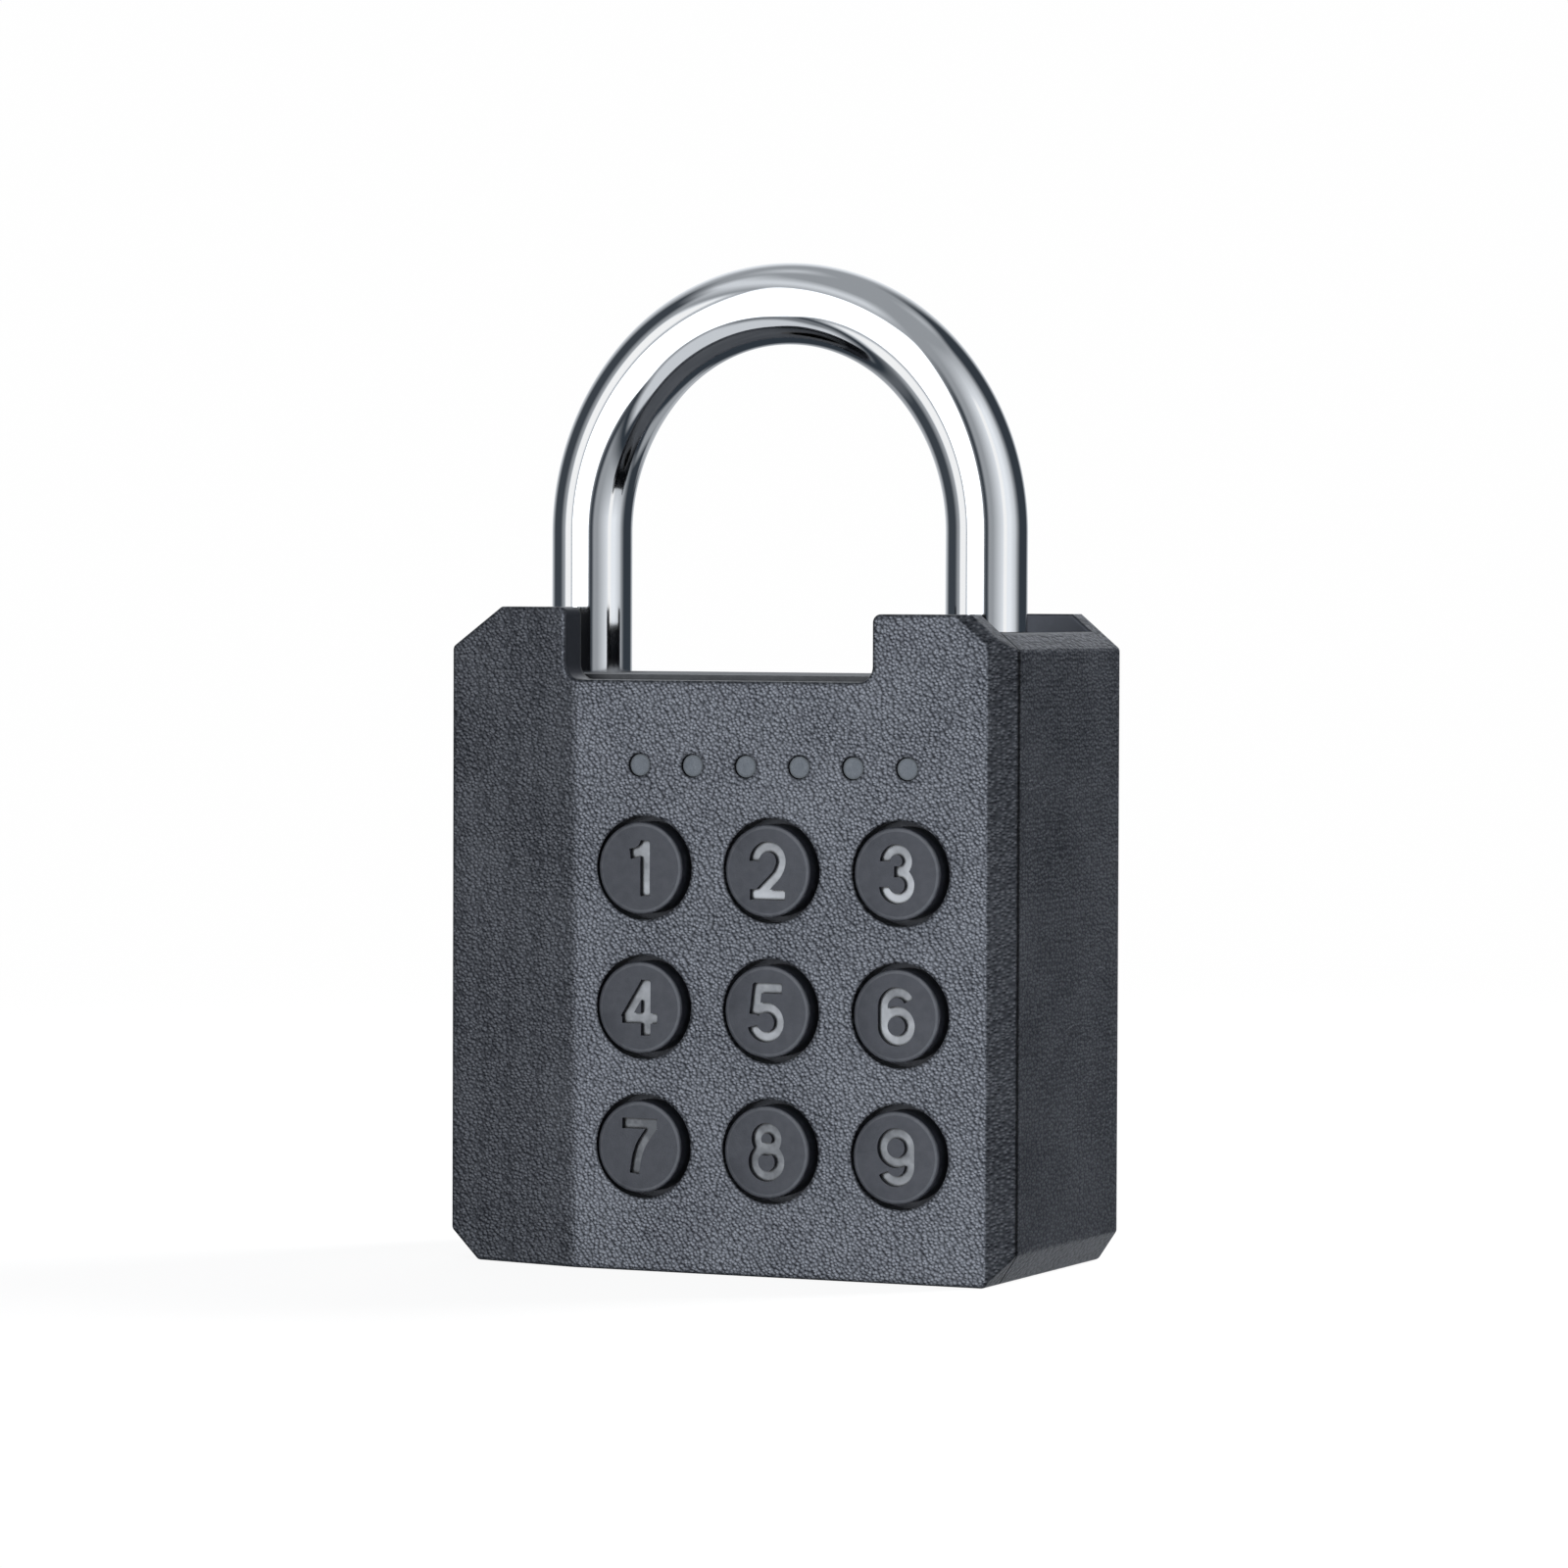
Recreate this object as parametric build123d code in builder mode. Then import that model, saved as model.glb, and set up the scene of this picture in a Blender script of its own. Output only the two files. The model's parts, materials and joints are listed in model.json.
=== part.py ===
from build123d import *

import os
from math import atan2, cos, degrees, pi, sin, sqrt

# A keypad padlock: millimetres, +Z up, +X to the right and +Y to the back of the lock.
# The origin is at the middle of the base, halfway between the key caps and the back.

# Body. Its width, depth and height are worked out below from what it holds
cover_depth = 3.7
top_chamfer_width = 4.05
top_chamfer_height = 3.4
toe_chamfer_width = 5.9
base_chamfer_width = 3.2
heel_base_chamfer_width = 1.95
base_chamfer_height = 2.9
wide_facet_drop = 2.9
narrow_facet_width = 1.6
diagonal_facet_width = 0.7
diagonal_facet_depth = 1.4
crease_round = 4.0
facet_corner_round = 1.5
face_edge_round = 0.35
corner_round = 0.6
back_edge_round = 0.6
parting_chamfer = 0.15
side_wall = 2.0
back_wall = 3.0
base_wall = 3.0

# Shoulders and the notch between them. The gap at the back is wider: the toe leg swings out there
shoulder_rise = 6.5
toe_shoulder_rise = 0.55
notch_leg_gap = 1.0
notch_fillet = 1.5
shoulder_round = 0.8
toe_exit_gap = 0.7

# Keypad and light windows
key_pitch = 13.5
key_hole_radius = 5.05
key_cap_radius = 4.45
key_cap_edge = 0.25
key_proud = 0.9
key_flange_radius = 5.7
key_flange_depth = 0.8
key_flange_gap = 0.05
key_travel = 0.5
key_side_margin = 1.1
key_facet_margin = 1.8
key_base_margin = 1.65
key_window_margin = 2.45
window_pitch = 5.63
window_hole_radius = 1.15
window_radius = 1.05
window_recess = 0.25
window_count = 6

# Shackle
shackle_diameter = 8.0
straight_rise = 13.9
crown_rise = 1.2
crown_inset = 0.8
toe_depth = 15.0
toe_foot = 2.5
heel_depth = 34.0
heel_foot = 3.5
leg_end_chamfer = 0.8
leg_clearance = 0.08
shackle_lift = 15.0

# Lock chassis, the inner casting
chassis_gap = 0.3
deck_step = 0.5
rim_wall = 1.5
rim_gap = 0.8
rim_depth = 4.15
bore_floor_gap = 0.5
heel_bore_floor = 8.0
seal_outer_radius = 5.5
seal_clearance = 0.15
seal_height = 1.1
seal_side_wall = 0.9
seal_front_wall = 2.25

# Front cover
cover_wall = 2.2
pocket_margin = 1.3
boss_radius = 2.2
boss_gap = 0.4
boss_top_gap = 0.1
low_boss_inset = 9.0
low_boss_height = 8.0
top_boss_inset = 2.3

# Bolt and its drive
bolt_width = 6.0
bolt_height = 5.0
bolt_throw = 3.0
bolt_mouth_gap = 0.3
bolt_tail_reach = 4.5
bolt_tail_gap = 0.3
bolt_clearance = 0.1
bolt_nose_chamfer = 0.6
toe_notch_end_gap = 0.68
toe_notch_gap = 0.2
tooth_module = 0.5
pinion_teeth = 12
rack_gap_count = 6
rack_lead_count = 2
tooth_root_share = 0.5
tooth_tip_share = 0.2
tooth_addendum_share = 0.8
tooth_dedendum_share = 1.2
pinion_height = 4.6
shaft_diameter = 3.0
shaft_flat = 0.4
shaft_clearance = 0.05
shaft_sunk = 2.0
gearbox_width = 12.0
gearbox_depth = 9.6
gearbox_height = 9.0
gearbox_gap = 0.5
gearbox_plates = 5
plate_slot_depth = 0.6
plate_slot_height = 0.6
motor_height = 14.5
motor_boss_radius = 2.0
motor_boss_height = 1.0
drive_pocket_gap = 0.3
drive_back_gap = 0.1
drive_leg_wall = 4.92

# Heel pin and shackle spring
pin_radius = 1.5
pin_bite = 1.1
pin_clearance = 0.02
flat_clearance = 0.2
ring_groove_height = 3.2
ring_groove_radius = 2.7
spring_wire = 0.9
spring_outer_radius = 3.6
spring_turns = 8
spring_end_gap = 0.05

# Circuit board and switches
board_thickness = 1.2
board_margin = 0.4
switch_size = 6.0
switch_height = 3.1
switch_corner = 0.5
switch_well_depth = 2.1
plunger_radius = 1.7
plunger_floor_gap = 0.3
plunger_clearance = 0.1
led_width = 2.0
led_depth = 0.7
led_height = 1.2
guide_web_height = 3.6
guide_web_thickness = 1.0
guide_web_end = 2.0
guide_leg_gap = 0.4

# Battery
cell_radius = 8.0
cell_floor = 5.6
cell_gap = 0.2
cell_front_wall = 1.3
cell_back_gap = 0.75
cell_side_wall = 1.5
cell_drive_wall = 1.7
cell_top_web = 4.3
cell_cap_radius = 3.0
cell_cap_height = 1.0
cell_edge = 0.8
contact_thickness = 0.4
contact_size = 9.0
contact_gap = 0.1

# Charging socket and its plug
socket_width = 8.94
socket_depth = 3.16
socket_height = 7.3
socket_floor = 4.0
socket_shell = 0.3
socket_mouth = 6.2
socket_tongue_width = 6.7
socket_tongue_depth = 0.7
socket_tongue_length = 4.5
port_gap = 0.3
port_width = 9.8
port_depth = 3.6
plug_flange_width = 12.6
plug_flange_depth = 6.1
plug_flange_height = 1.0
plug_floor = 0.2
plug_recess = 1.2
plug_tip_gap = 0.1

# Fasteners
cover_screw_radius = 1.0
cover_screw_grip = 4.0
screw_head_radius = 1.9
screw_head_height = 1.3
screw_hole_gap = 0.1
head_recess_gap = 0.15
screw_thread_gap = 0.02
screw_end_gap = 0.2
screw_drive_radius = 1.0
screw_drive_depth = 0.7
board_screw_radius = 0.8
board_screw_length = 3.0
board_screw_head_radius = 1.5
board_screw_head_height = 0.9
board_screw_inset = 8.0
board_screw_height_shares = (0.27, 0.66)
corner_screw_inset = 6.0
corner_screw_drop = 10.5
chassis_screw_radius = 1.5
chassis_screw_length = 10.0
chassis_screw_head_radius = 2.7
chassis_screw_head_height = 2.0
chassis_screw_offset = 1.2
boss_block_width = 7.8
boss_block_height = 7.5
boss_block_drop = 3.8
boss_block_setback = 4.0

# Gasket
gasket_width = 1.0
gasket_edge_gap = 0.3

# A face is part of the front where its normal has at least this share of it facing the front
facing_share = 0.9

# Cuts run this far past the faces that they open
overrun = 1.0

# Depths, measured back from the face
bore_radius = shackle_diameter / 2 + leg_clearance
cell_pocket_radius = cell_radius + cell_gap
pinion_radius = tooth_module * pinion_teeth / 2
tooth_pitch = pi * tooth_module
tooth_addendum = tooth_addendum_share * tooth_module
tooth_dedendum = tooth_dedendum_share * tooth_module
tray_depth = cover_depth + rim_gap + rim_depth
cell_depth = tray_depth + cell_front_wall + cell_pocket_radius
shackle_depth = tray_depth + seal_front_wall + seal_outer_radius
pinion_depth = shackle_depth + bolt_width / 2 - tooth_addendum + pinion_radius
cell_reach = cell_depth + cell_radius + cell_back_gap
drive_reach = pinion_depth + gearbox_depth / 2 + drive_back_gap
chassis_depth = max(cell_reach, drive_reach)
body_depth = chassis_depth + chassis_gap + back_wall
front_y = (key_proud - body_depth) / 2
part_y = front_y + cover_depth
wall_back = front_y + cover_wall
rim_front = part_y + rim_gap
board_back = front_y + tray_depth
board_front = board_back - board_thickness
switch_front = board_front - switch_height
cell_y = front_y + cell_depth
shackle_y = front_y + shackle_depth
bolt_back = shackle_y + bolt_width / 2
pinion_y = front_y + pinion_depth
chassis_back = front_y + chassis_depth
rear_y = front_y + body_depth
socket_y = board_back + socket_depth / 2
key_back = wall_back + key_flange_gap + key_flange_depth
plunger_end = switch_front + switch_well_depth - key_travel - plunger_floor_gap

# Heights
chassis_floor = base_wall + chassis_gap
pocket_floor = chassis_floor + rim_wall
lowest_keys = pocket_floor + key_base_margin + key_flange_radius
window_row_height = lowest_keys + 2 * key_pitch + key_flange_radius + key_window_margin + guide_web_height / 2
top_boss_height = window_row_height + guide_web_height / 2 + boss_gap + boss_radius
notch_floor = top_boss_height + boss_radius + boss_top_gap + rim_wall
body_height = notch_floor + shoulder_rise
toe_side_height = body_height + toe_shoulder_rise
side_top = body_height - top_chamfer_height
deck_height = notch_floor + deck_step
seal_floor = deck_height - seal_height
bow_spring_height = deck_height + straight_rise
toe_end = deck_height - toe_depth
heel_end = deck_height - heel_depth
pin_height = heel_end + heel_foot + flat_clearance + shackle_lift + pin_radius
bolt_floor = toe_end + toe_foot + toe_notch_gap
bolt_top = bolt_floor + bolt_height
bolt_middle_height = bolt_floor + bolt_height / 2
gearbox_top = bolt_floor - gearbox_gap
motor_top = gearbox_top - gearbox_height
motor_floor = motor_top - motor_height
cell_pocket_top = bolt_floor - cell_top_web
pole_top = cell_pocket_top - contact_thickness - contact_gap
cell_top = pole_top - contact_gap - cell_cap_height
chassis_screw_seat = toe_end - bore_floor_gap - chassis_screw_head_height
boss_block_top = chassis_screw_seat - boss_block_drop
boss_block_floor = boss_block_top - boss_block_height

# Widths: the screw boss, the cell, the drive and the heel leg stand side by side between the walls
shackle_radius = shackle_diameter / 2
shaft_radius = shaft_diameter / 2
leg_inset = side_wall + chassis_gap + seal_side_wall + seal_outer_radius
drive_room = gearbox_width / 2 + drive_pocket_gap
drive_inset = leg_inset + bore_radius + drive_leg_wall + drive_room
cell_inset = drive_inset + drive_room + cell_drive_wall + cell_pocket_radius
boss_inset = cell_inset + cell_pocket_radius + cell_side_wall + chassis_gap
half_width = (boss_inset + boss_block_width + side_wall) / 2
leg_x = half_width - leg_inset
pinion_x = half_width - drive_inset
cell_x = half_width - cell_inset
boss_block_edge = half_width - boss_inset
pin_x = leg_x - shackle_radius - pin_radius + pin_bite
bolt_nose = bore_radius - leg_x + bolt_mouth_gap
bolt_tail = pinion_x + bolt_tail_reach
toe_notch_depth = bolt_throw - bolt_mouth_gap - leg_clearance + toe_notch_end_gap
chassis_screw_x = -leg_x - chassis_screw_offset
notch_half_width = leg_x - shackle_radius - notch_leg_gap
toe_exit_edge = leg_x + shackle_radius + toe_exit_gap
tray_gap = chassis_gap + rim_wall
pocket_right = half_width - side_wall - tray_gap
key_column_offset = pocket_right - key_side_margin - key_flange_radius - key_pitch
pocket_left = key_column_offset - key_pitch - key_flange_radius - key_facet_margin

# Tables of places on the face
key_places = [
    (key_column_offset + column * key_pitch, lowest_keys + row * key_pitch)
    for row in (2, 1, 0)
    for column in (-1, 0, 1)
]
window_places = [
    (key_column_offset + (index - (window_count - 1) / 2) * window_pitch, window_row_height)
    for index in range(window_count)
]
boss_places = (
    (low_boss_inset - half_width, low_boss_height),
    (top_boss_inset - notch_half_width, top_boss_height),
    (notch_half_width - top_boss_inset, top_boss_height),
    (key_column_offset + key_pitch / 2, lowest_keys + key_pitch / 2),
)
board_screw_places = [(half_width - corner_screw_inset, notch_floor - corner_screw_drop)] + [
    (board_screw_inset - half_width, share * notch_floor) for share in board_screw_height_shares
]


def facing(y):
    """The plane at this depth whose normal points to the front, with X right and Z up in it."""
    return Plane.XZ.offset(-y)


def save(builder, name):
    """Label a finished piece and write it."""
    builder.part.label = name
    export_step(builder.part, f"parts/{name}.step")
    return builder.part


def body_outline(toe_edge):
    """The outline of the body from the front, with the notch open from toe_edge to the heel side."""
    with BuildSketch() as profile:
        with BuildLine():
            Polyline(
                (base_chamfer_width - half_width, 0),
                (half_width - heel_base_chamfer_width, 0),
                (half_width, base_chamfer_height),
                (half_width, side_top),
                (half_width - top_chamfer_width, body_height),
                (0, body_height),
                (0, toe_side_height),
                (toe_chamfer_width - half_width, toe_side_height),
                (-half_width, side_top),
                (-half_width, base_chamfer_height),
                close=True,
            )
        make_face()
        with Locations(((notch_half_width - toe_edge) / 2, notch_floor)):
            RectangleRounded(
                notch_half_width + toe_edge,
                toe_side_height - notch_floor + notch_fillet + overrun,
                notch_fillet,
                align=(Align.CENTER, Align.MIN),
                mode=Mode.SUBTRACT,
            )
        chamfer_corners = (
            (-half_width, base_chamfer_height),
            (half_width, base_chamfer_height),
            (-half_width, side_top),
            (half_width, side_top),
            (toe_chamfer_width - half_width, toe_side_height),
            (base_chamfer_width - half_width, 0),
            (half_width - heel_base_chamfer_width, 0),
        )
        fillet([profile.vertices().sort_by_distance(spot)[0] for spot in chamfer_corners], corner_round)
        heel_corner = profile.vertices().sort_by_distance((notch_half_width, body_height))[0]
        toe_corner = profile.vertices().sort_by_distance((-toe_edge, toe_side_height))[0]
        fillet([heel_corner, toe_corner], shoulder_round)
    return profile.sketch


def inner_outline(gap, top):
    """The outline of the space inside the housing from the front, shrunk by gap, up to this top."""
    side = half_width - side_wall - gap
    floor = base_wall + gap
    with BuildSketch() as profile:
        with BuildLine():
            Polyline(
                (base_chamfer_width - side, floor),
                (side - base_chamfer_width, floor),
                (side, floor + base_chamfer_height),
                (side, top),
                (-side, top),
                (-side, floor + base_chamfer_height),
                close=True,
            )
        make_face()
    return profile.sketch


def spring_curve(radius, start, end, turns):
    """A helix about Z as biarcs, two arcs for each quarter turn, from height start to height end."""
    quarters = 4 * turns
    rise = (end - start) / quarters
    slope = rise * 2 / pi

    def point(index):
        angle = index * pi / 2
        return Vector(radius * cos(angle), radius * sin(angle), start + index * rise)

    def heading(index):
        angle = index * pi / 2
        return Vector(-radius * sin(angle), radius * cos(angle), slope).normalized()

    arcs = []
    for index in range(quarters):
        chord = point(index + 1) - point(index)
        both = heading(index) + heading(index + 1)
        spread = both.dot(both) - 4
        along = chord.dot(both)
        arm = (along - sqrt(along * along - spread * chord.dot(chord))) / spread
        near = point(index) + heading(index) * arm
        far = point(index + 1) - heading(index + 1) * arm
        joint = (near + far) * 0.5
        arcs.append(Edge.make_tangent_arc(point(index), heading(index), joint))
        arcs.append(Edge.make_tangent_arc(joint, far - near, point(index + 1)))
    return Wire(arcs)


def tooth_half(height_share):
    """Half the width of a tooth at this share of the way from its root to its tip."""
    return tooth_pitch * (tooth_root_share + (tooth_tip_share - tooth_root_share) * height_share) / 2


def shaft_section(clearance):
    """The round section of the drive shaft with its flat, grown by this clearance."""
    with BuildSketch() as section:
        Circle(shaft_radius + clearance)
        with Locations((0, shaft_radius + clearance - shaft_flat)):
            Rectangle(2 * shaft_diameter, shaft_diameter, align=(Align.CENTER, Align.MIN), mode=Mode.SUBTRACT)
    return section.sketch


os.makedirs("parts", exist_ok=True)

# Front cover: a plate with a flat back, facets on its face, holes for the keys and windows
with BuildPart() as front_cover:
    with BuildSketch(facing(part_y)):
        add(body_outline(notch_half_width))
    extrude(amount=cover_depth)
    with BuildSketch(Plane.XY.offset(-overrun)):
        with BuildLine():
            facet_slope = wide_facet_drop / (half_width + pocket_left)
            Polyline(
                (pocket_left, front_y),
                (-half_width - overrun, front_y + wide_facet_drop + overrun * facet_slope),
                (-half_width - overrun, front_y - overrun),
                (pocket_left, front_y - overrun),
                close=True,
            )
        make_face()
        with BuildLine():
            edge_slope = cover_depth / narrow_facet_width
            Polyline(
                (half_width - narrow_facet_width, front_y),
                (half_width + overrun, part_y + overrun * edge_slope),
                (half_width + overrun, front_y - overrun),
                (half_width - narrow_facet_width, front_y - overrun),
                close=True,
            )
        make_face()
    extrude(amount=toe_side_height + 2 * overrun, mode=Mode.SUBTRACT)
    outward = Vector(top_chamfer_height, 0, top_chamfer_width).normalized()
    slope = outward * diagonal_facet_depth + Vector(0, -diagonal_facet_width, 0)
    diagonal_edge = (half_width - top_chamfer_width, front_y + diagonal_facet_depth, body_height)
    split(bisect_by=Plane(origin=diagonal_edge, z_dir=slope), keep=Keep.BOTTOM)
    facet_corners = [
        edge for edge in front_cover.edges()
        if edge.center().X > half_width - narrow_facet_width and edge.center().Z > body_height / 2
        and min(edge @ 0, edge @ 1, key=lambda end: end.Y).Y < front_y + corner_round
        and abs((edge @ 0).Y - (edge @ 1).Y) > corner_round
    ]
    fillet(facet_corners, facet_corner_round)
    upright_edges = front_cover.edges().filter_by(Axis.Z)
    fillet(upright_edges.sort_by_distance((pocket_left, front_y, notch_floor / 2))[0], crease_round)
    face_parts = [face for face in front_cover.faces() if face.normal_at().Y < -facing_share]
    face_edges = [edge for face in face_parts for edge in face.edges()]
    middles = [edge.center() for edge in face_edges]
    rim = [
        edge for edge in face_edges
        if sum((edge.center() - middle).length < face_edge_round / 10 for middle in middles) == 1
    ]
    fillet(rim, face_edge_round)
    pocket_top = notch_floor - pocket_margin
    with BuildSketch(facing(part_y)):
        with Locations(((pocket_left + pocket_right) / 2, (pocket_floor + pocket_top) / 2)):
            RectangleRounded(pocket_right - pocket_left, pocket_top - pocket_floor, boss_radius)
    extrude(amount=cover_depth - cover_wall, mode=Mode.SUBTRACT)
    with BuildSketch(facing(board_back)):
        with Locations(*boss_places):
            Circle(boss_radius)
    extrude(amount=board_back - wall_back)
    with BuildSketch(facing(board_back)):
        with Locations(*boss_places):
            Circle(cover_screw_radius)
    extrude(amount=cover_screw_grip, mode=Mode.SUBTRACT)
    with BuildSketch(facing(part_y)):
        with Locations(*key_places):
            Circle(key_hole_radius)
        with Locations(*window_places):
            Circle(window_hole_radius)
    extrude(amount=cover_depth + overrun, mode=Mode.SUBTRACT)
save(front_cover, "front_cover")

# Rear housing: base, side walls, back and rear shoulders in one casting, open to the front and the top
with BuildPart() as rear_housing:
    with BuildSketch(facing(rear_y)):
        add(body_outline(toe_exit_edge))
    extrude(amount=rear_y - part_y)
    fillet(rear_housing.faces().sort_by(Axis.Y)[-1].edges(), back_edge_round)
    chamfer(rear_housing.faces().sort_by(Axis.Y)[0].edges(), parting_chamfer)
    with BuildSketch(facing(rear_y - back_wall)):
        add(inner_outline(0, toe_side_height + overrun))
    extrude(amount=rear_y - back_wall - part_y + overrun, mode=Mode.SUBTRACT)
    boss_block_front = board_back + boss_block_setback
    with BuildSketch(Plane.XY.offset(boss_block_floor)):
        with Locations((boss_block_edge, boss_block_front)):
            Rectangle(
                boss_block_width,
                rear_y - back_wall - boss_block_front,
                align=(Align.MAX, Align.MIN),
            )
    extrude(amount=boss_block_height)
    with BuildSketch(Plane.XY.offset(boss_block_floor - overrun)):
        with Locations((chassis_screw_x, shackle_y)):
            Circle(chassis_screw_radius)
    extrude(amount=boss_block_height + 2 * overrun, mode=Mode.SUBTRACT)
    with BuildSketch(Plane.XY.offset(-overrun)):
        with Locations((0, socket_y)):
            SlotOverall(port_width, port_depth)
    extrude(amount=base_wall + 2 * overrun, mode=Mode.SUBTRACT)
    with BuildSketch(Plane.XY):
        with Locations((0, socket_y)):
            SlotOverall(plug_flange_width + 2 * port_gap, plug_flange_depth + 2 * port_gap)
    extrude(amount=plug_recess, mode=Mode.SUBTRACT)
save(rear_housing, "rear_housing")

# Cover gasket: a flat ring between the back of the cover and the rim of the chassis
gasket_gap = chassis_gap + gasket_edge_gap
gasket_top = notch_floor - gasket_edge_gap
with BuildPart() as cover_gasket:
    with BuildSketch(facing(rim_front)):
        add(inner_outline(gasket_gap, gasket_top))
        add(inner_outline(gasket_gap + gasket_width, gasket_top - gasket_width), mode=Mode.SUBTRACT)
    extrude(amount=rim_gap)
save(cover_gasket, "cover_gasket")

# Lock chassis: the inner casting, a tray for the board in front and the lock works behind
cell_pocket_floor = cell_floor - contact_thickness - contact_gap
tray_top = notch_floor - rim_wall
with BuildPart() as lock_chassis:
    with BuildSketch(facing(chassis_back)):
        add(inner_outline(chassis_gap, deck_height))
    extrude(amount=chassis_back - rim_front)
    with BuildSketch(facing(board_back)):
        add(inner_outline(tray_gap, tray_top))
    extrude(amount=rim_depth + overrun, mode=Mode.SUBTRACT)
    # Bores for the two legs, with seats for their seals
    with BuildSketch(Plane.XY.offset(toe_end - bore_floor_gap)):
        with Locations((-leg_x, shackle_y)):
            Circle(bore_radius)
    extrude(amount=toe_depth + bore_floor_gap + overrun, mode=Mode.SUBTRACT)
    with BuildSketch(Plane.XY.offset(heel_bore_floor)):
        with Locations((leg_x, shackle_y)):
            Circle(bore_radius)
    extrude(amount=deck_height - heel_bore_floor + overrun, mode=Mode.SUBTRACT)
    with BuildSketch(Plane.XY.offset(seal_floor)):
        with Locations((-leg_x, shackle_y), (leg_x, shackle_y)):
            Circle(seal_outer_radius)
    extrude(amount=seal_height + overrun, mode=Mode.SUBTRACT)
    # Channel for the bolt, from the toe bore to the drive
    channel_end = bolt_tail + bolt_tail_gap
    with BuildSketch(Plane.YZ.offset(-leg_x)):
        with Locations((shackle_y, bolt_middle_height)):
            Rectangle(bolt_width + 2 * bolt_clearance, bolt_height + 2 * bolt_clearance)
    extrude(amount=leg_x + channel_end, mode=Mode.SUBTRACT)
    # Pocket for the gear motor, open to the back, with room for its bearing below and the pinion above
    drive_rooms = (
        (gearbox_width / 2, gearbox_depth / 2, motor_floor, gearbox_top),
        (motor_boss_radius, motor_boss_radius, motor_floor - motor_boss_height, motor_floor),
        (pinion_radius + tooth_module, pinion_radius + tooth_module, gearbox_top, bolt_top),
    )
    for side, front, floor, top in drive_rooms:
        room_front = pinion_y - front - drive_pocket_gap
        with BuildSketch(Plane.XY.offset(floor - drive_pocket_gap)):
            with Locations((pinion_x, room_front)):
                Rectangle(
                    2 * (side + drive_pocket_gap),
                    chassis_back - room_front + overrun,
                    align=(Align.CENTER, Align.MIN),
                )
        extrude(amount=top - floor + 2 * drive_pocket_gap, mode=Mode.SUBTRACT)
    # Pocket for the cell, open to the back
    with BuildSketch(Plane.XY.offset(cell_pocket_floor)):
        with Locations((cell_x, cell_y)):
            Circle(cell_pocket_radius)
            Rectangle(
                2 * cell_pocket_radius,
                chassis_back - cell_y + overrun,
                align=(Align.CENTER, Align.MIN),
            )
    extrude(amount=cell_pocket_top - cell_pocket_floor, mode=Mode.SUBTRACT)
    # Room for the charging socket, open to the base
    with BuildSketch(Plane.XY.offset(chassis_floor - overrun)):
        with Locations((0, socket_y)):
            RectangleRounded(port_width, port_depth, port_gap)
    extrude(amount=socket_floor + socket_height + port_gap - chassis_floor + overrun, mode=Mode.SUBTRACT)
    # Recess that slides over the screw boss of the housing
    with BuildSketch(Plane.XY.offset(boss_block_floor - chassis_gap)):
        recess_edge = boss_block_edge + chassis_gap
        with Locations((recess_edge, boss_block_front - chassis_gap)):
            Rectangle(
                recess_edge + half_width,
                chassis_back - boss_block_front + chassis_gap + overrun,
                align=(Align.MAX, Align.MIN),
            )
    extrude(amount=boss_block_height + 2 * chassis_gap, mode=Mode.SUBTRACT)
    # Seat and hole for the screw in the toe bore
    with BuildSketch(Plane.XY.offset(chassis_screw_seat)):
        with Locations((chassis_screw_x, shackle_y)):
            Circle(chassis_screw_head_radius + screw_hole_gap)
    extrude(amount=chassis_screw_head_height + overrun, mode=Mode.SUBTRACT)
    with BuildSketch(Plane.XY.offset(boss_block_top - overrun)):
        with Locations((chassis_screw_x, shackle_y)):
            Circle(chassis_screw_radius + screw_hole_gap)
    extrude(amount=chassis_screw_seat - boss_block_top + 2 * overrun, mode=Mode.SUBTRACT)
    # Holes for the cover screws, with head recesses in the back
    with BuildSketch(facing(chassis_back + overrun)):
        with Locations(*boss_places):
            Circle(cover_screw_radius + screw_hole_gap)
    extrude(amount=chassis_back - board_back + 2 * overrun, mode=Mode.SUBTRACT)
    with BuildSketch(facing(chassis_back + overrun)):
        with Locations(*boss_places):
            Circle(screw_head_radius + head_recess_gap)
    extrude(amount=screw_head_height + overrun, mode=Mode.SUBTRACT)
    with BuildSketch(facing(board_back)):
        with Locations(*board_screw_places):
            Circle(board_screw_radius)
    extrude(amount=-board_screw_length, mode=Mode.SUBTRACT)
    # Hole for the heel pin, from the back
    with BuildSketch(facing(chassis_back + overrun)):
        with Locations((pin_x, pin_height)):
            Circle(pin_radius + pin_clearance)
    extrude(amount=chassis_back - shackle_y + bore_radius + pin_radius + overrun, mode=Mode.SUBTRACT)
save(lock_chassis, "lock_chassis")

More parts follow.
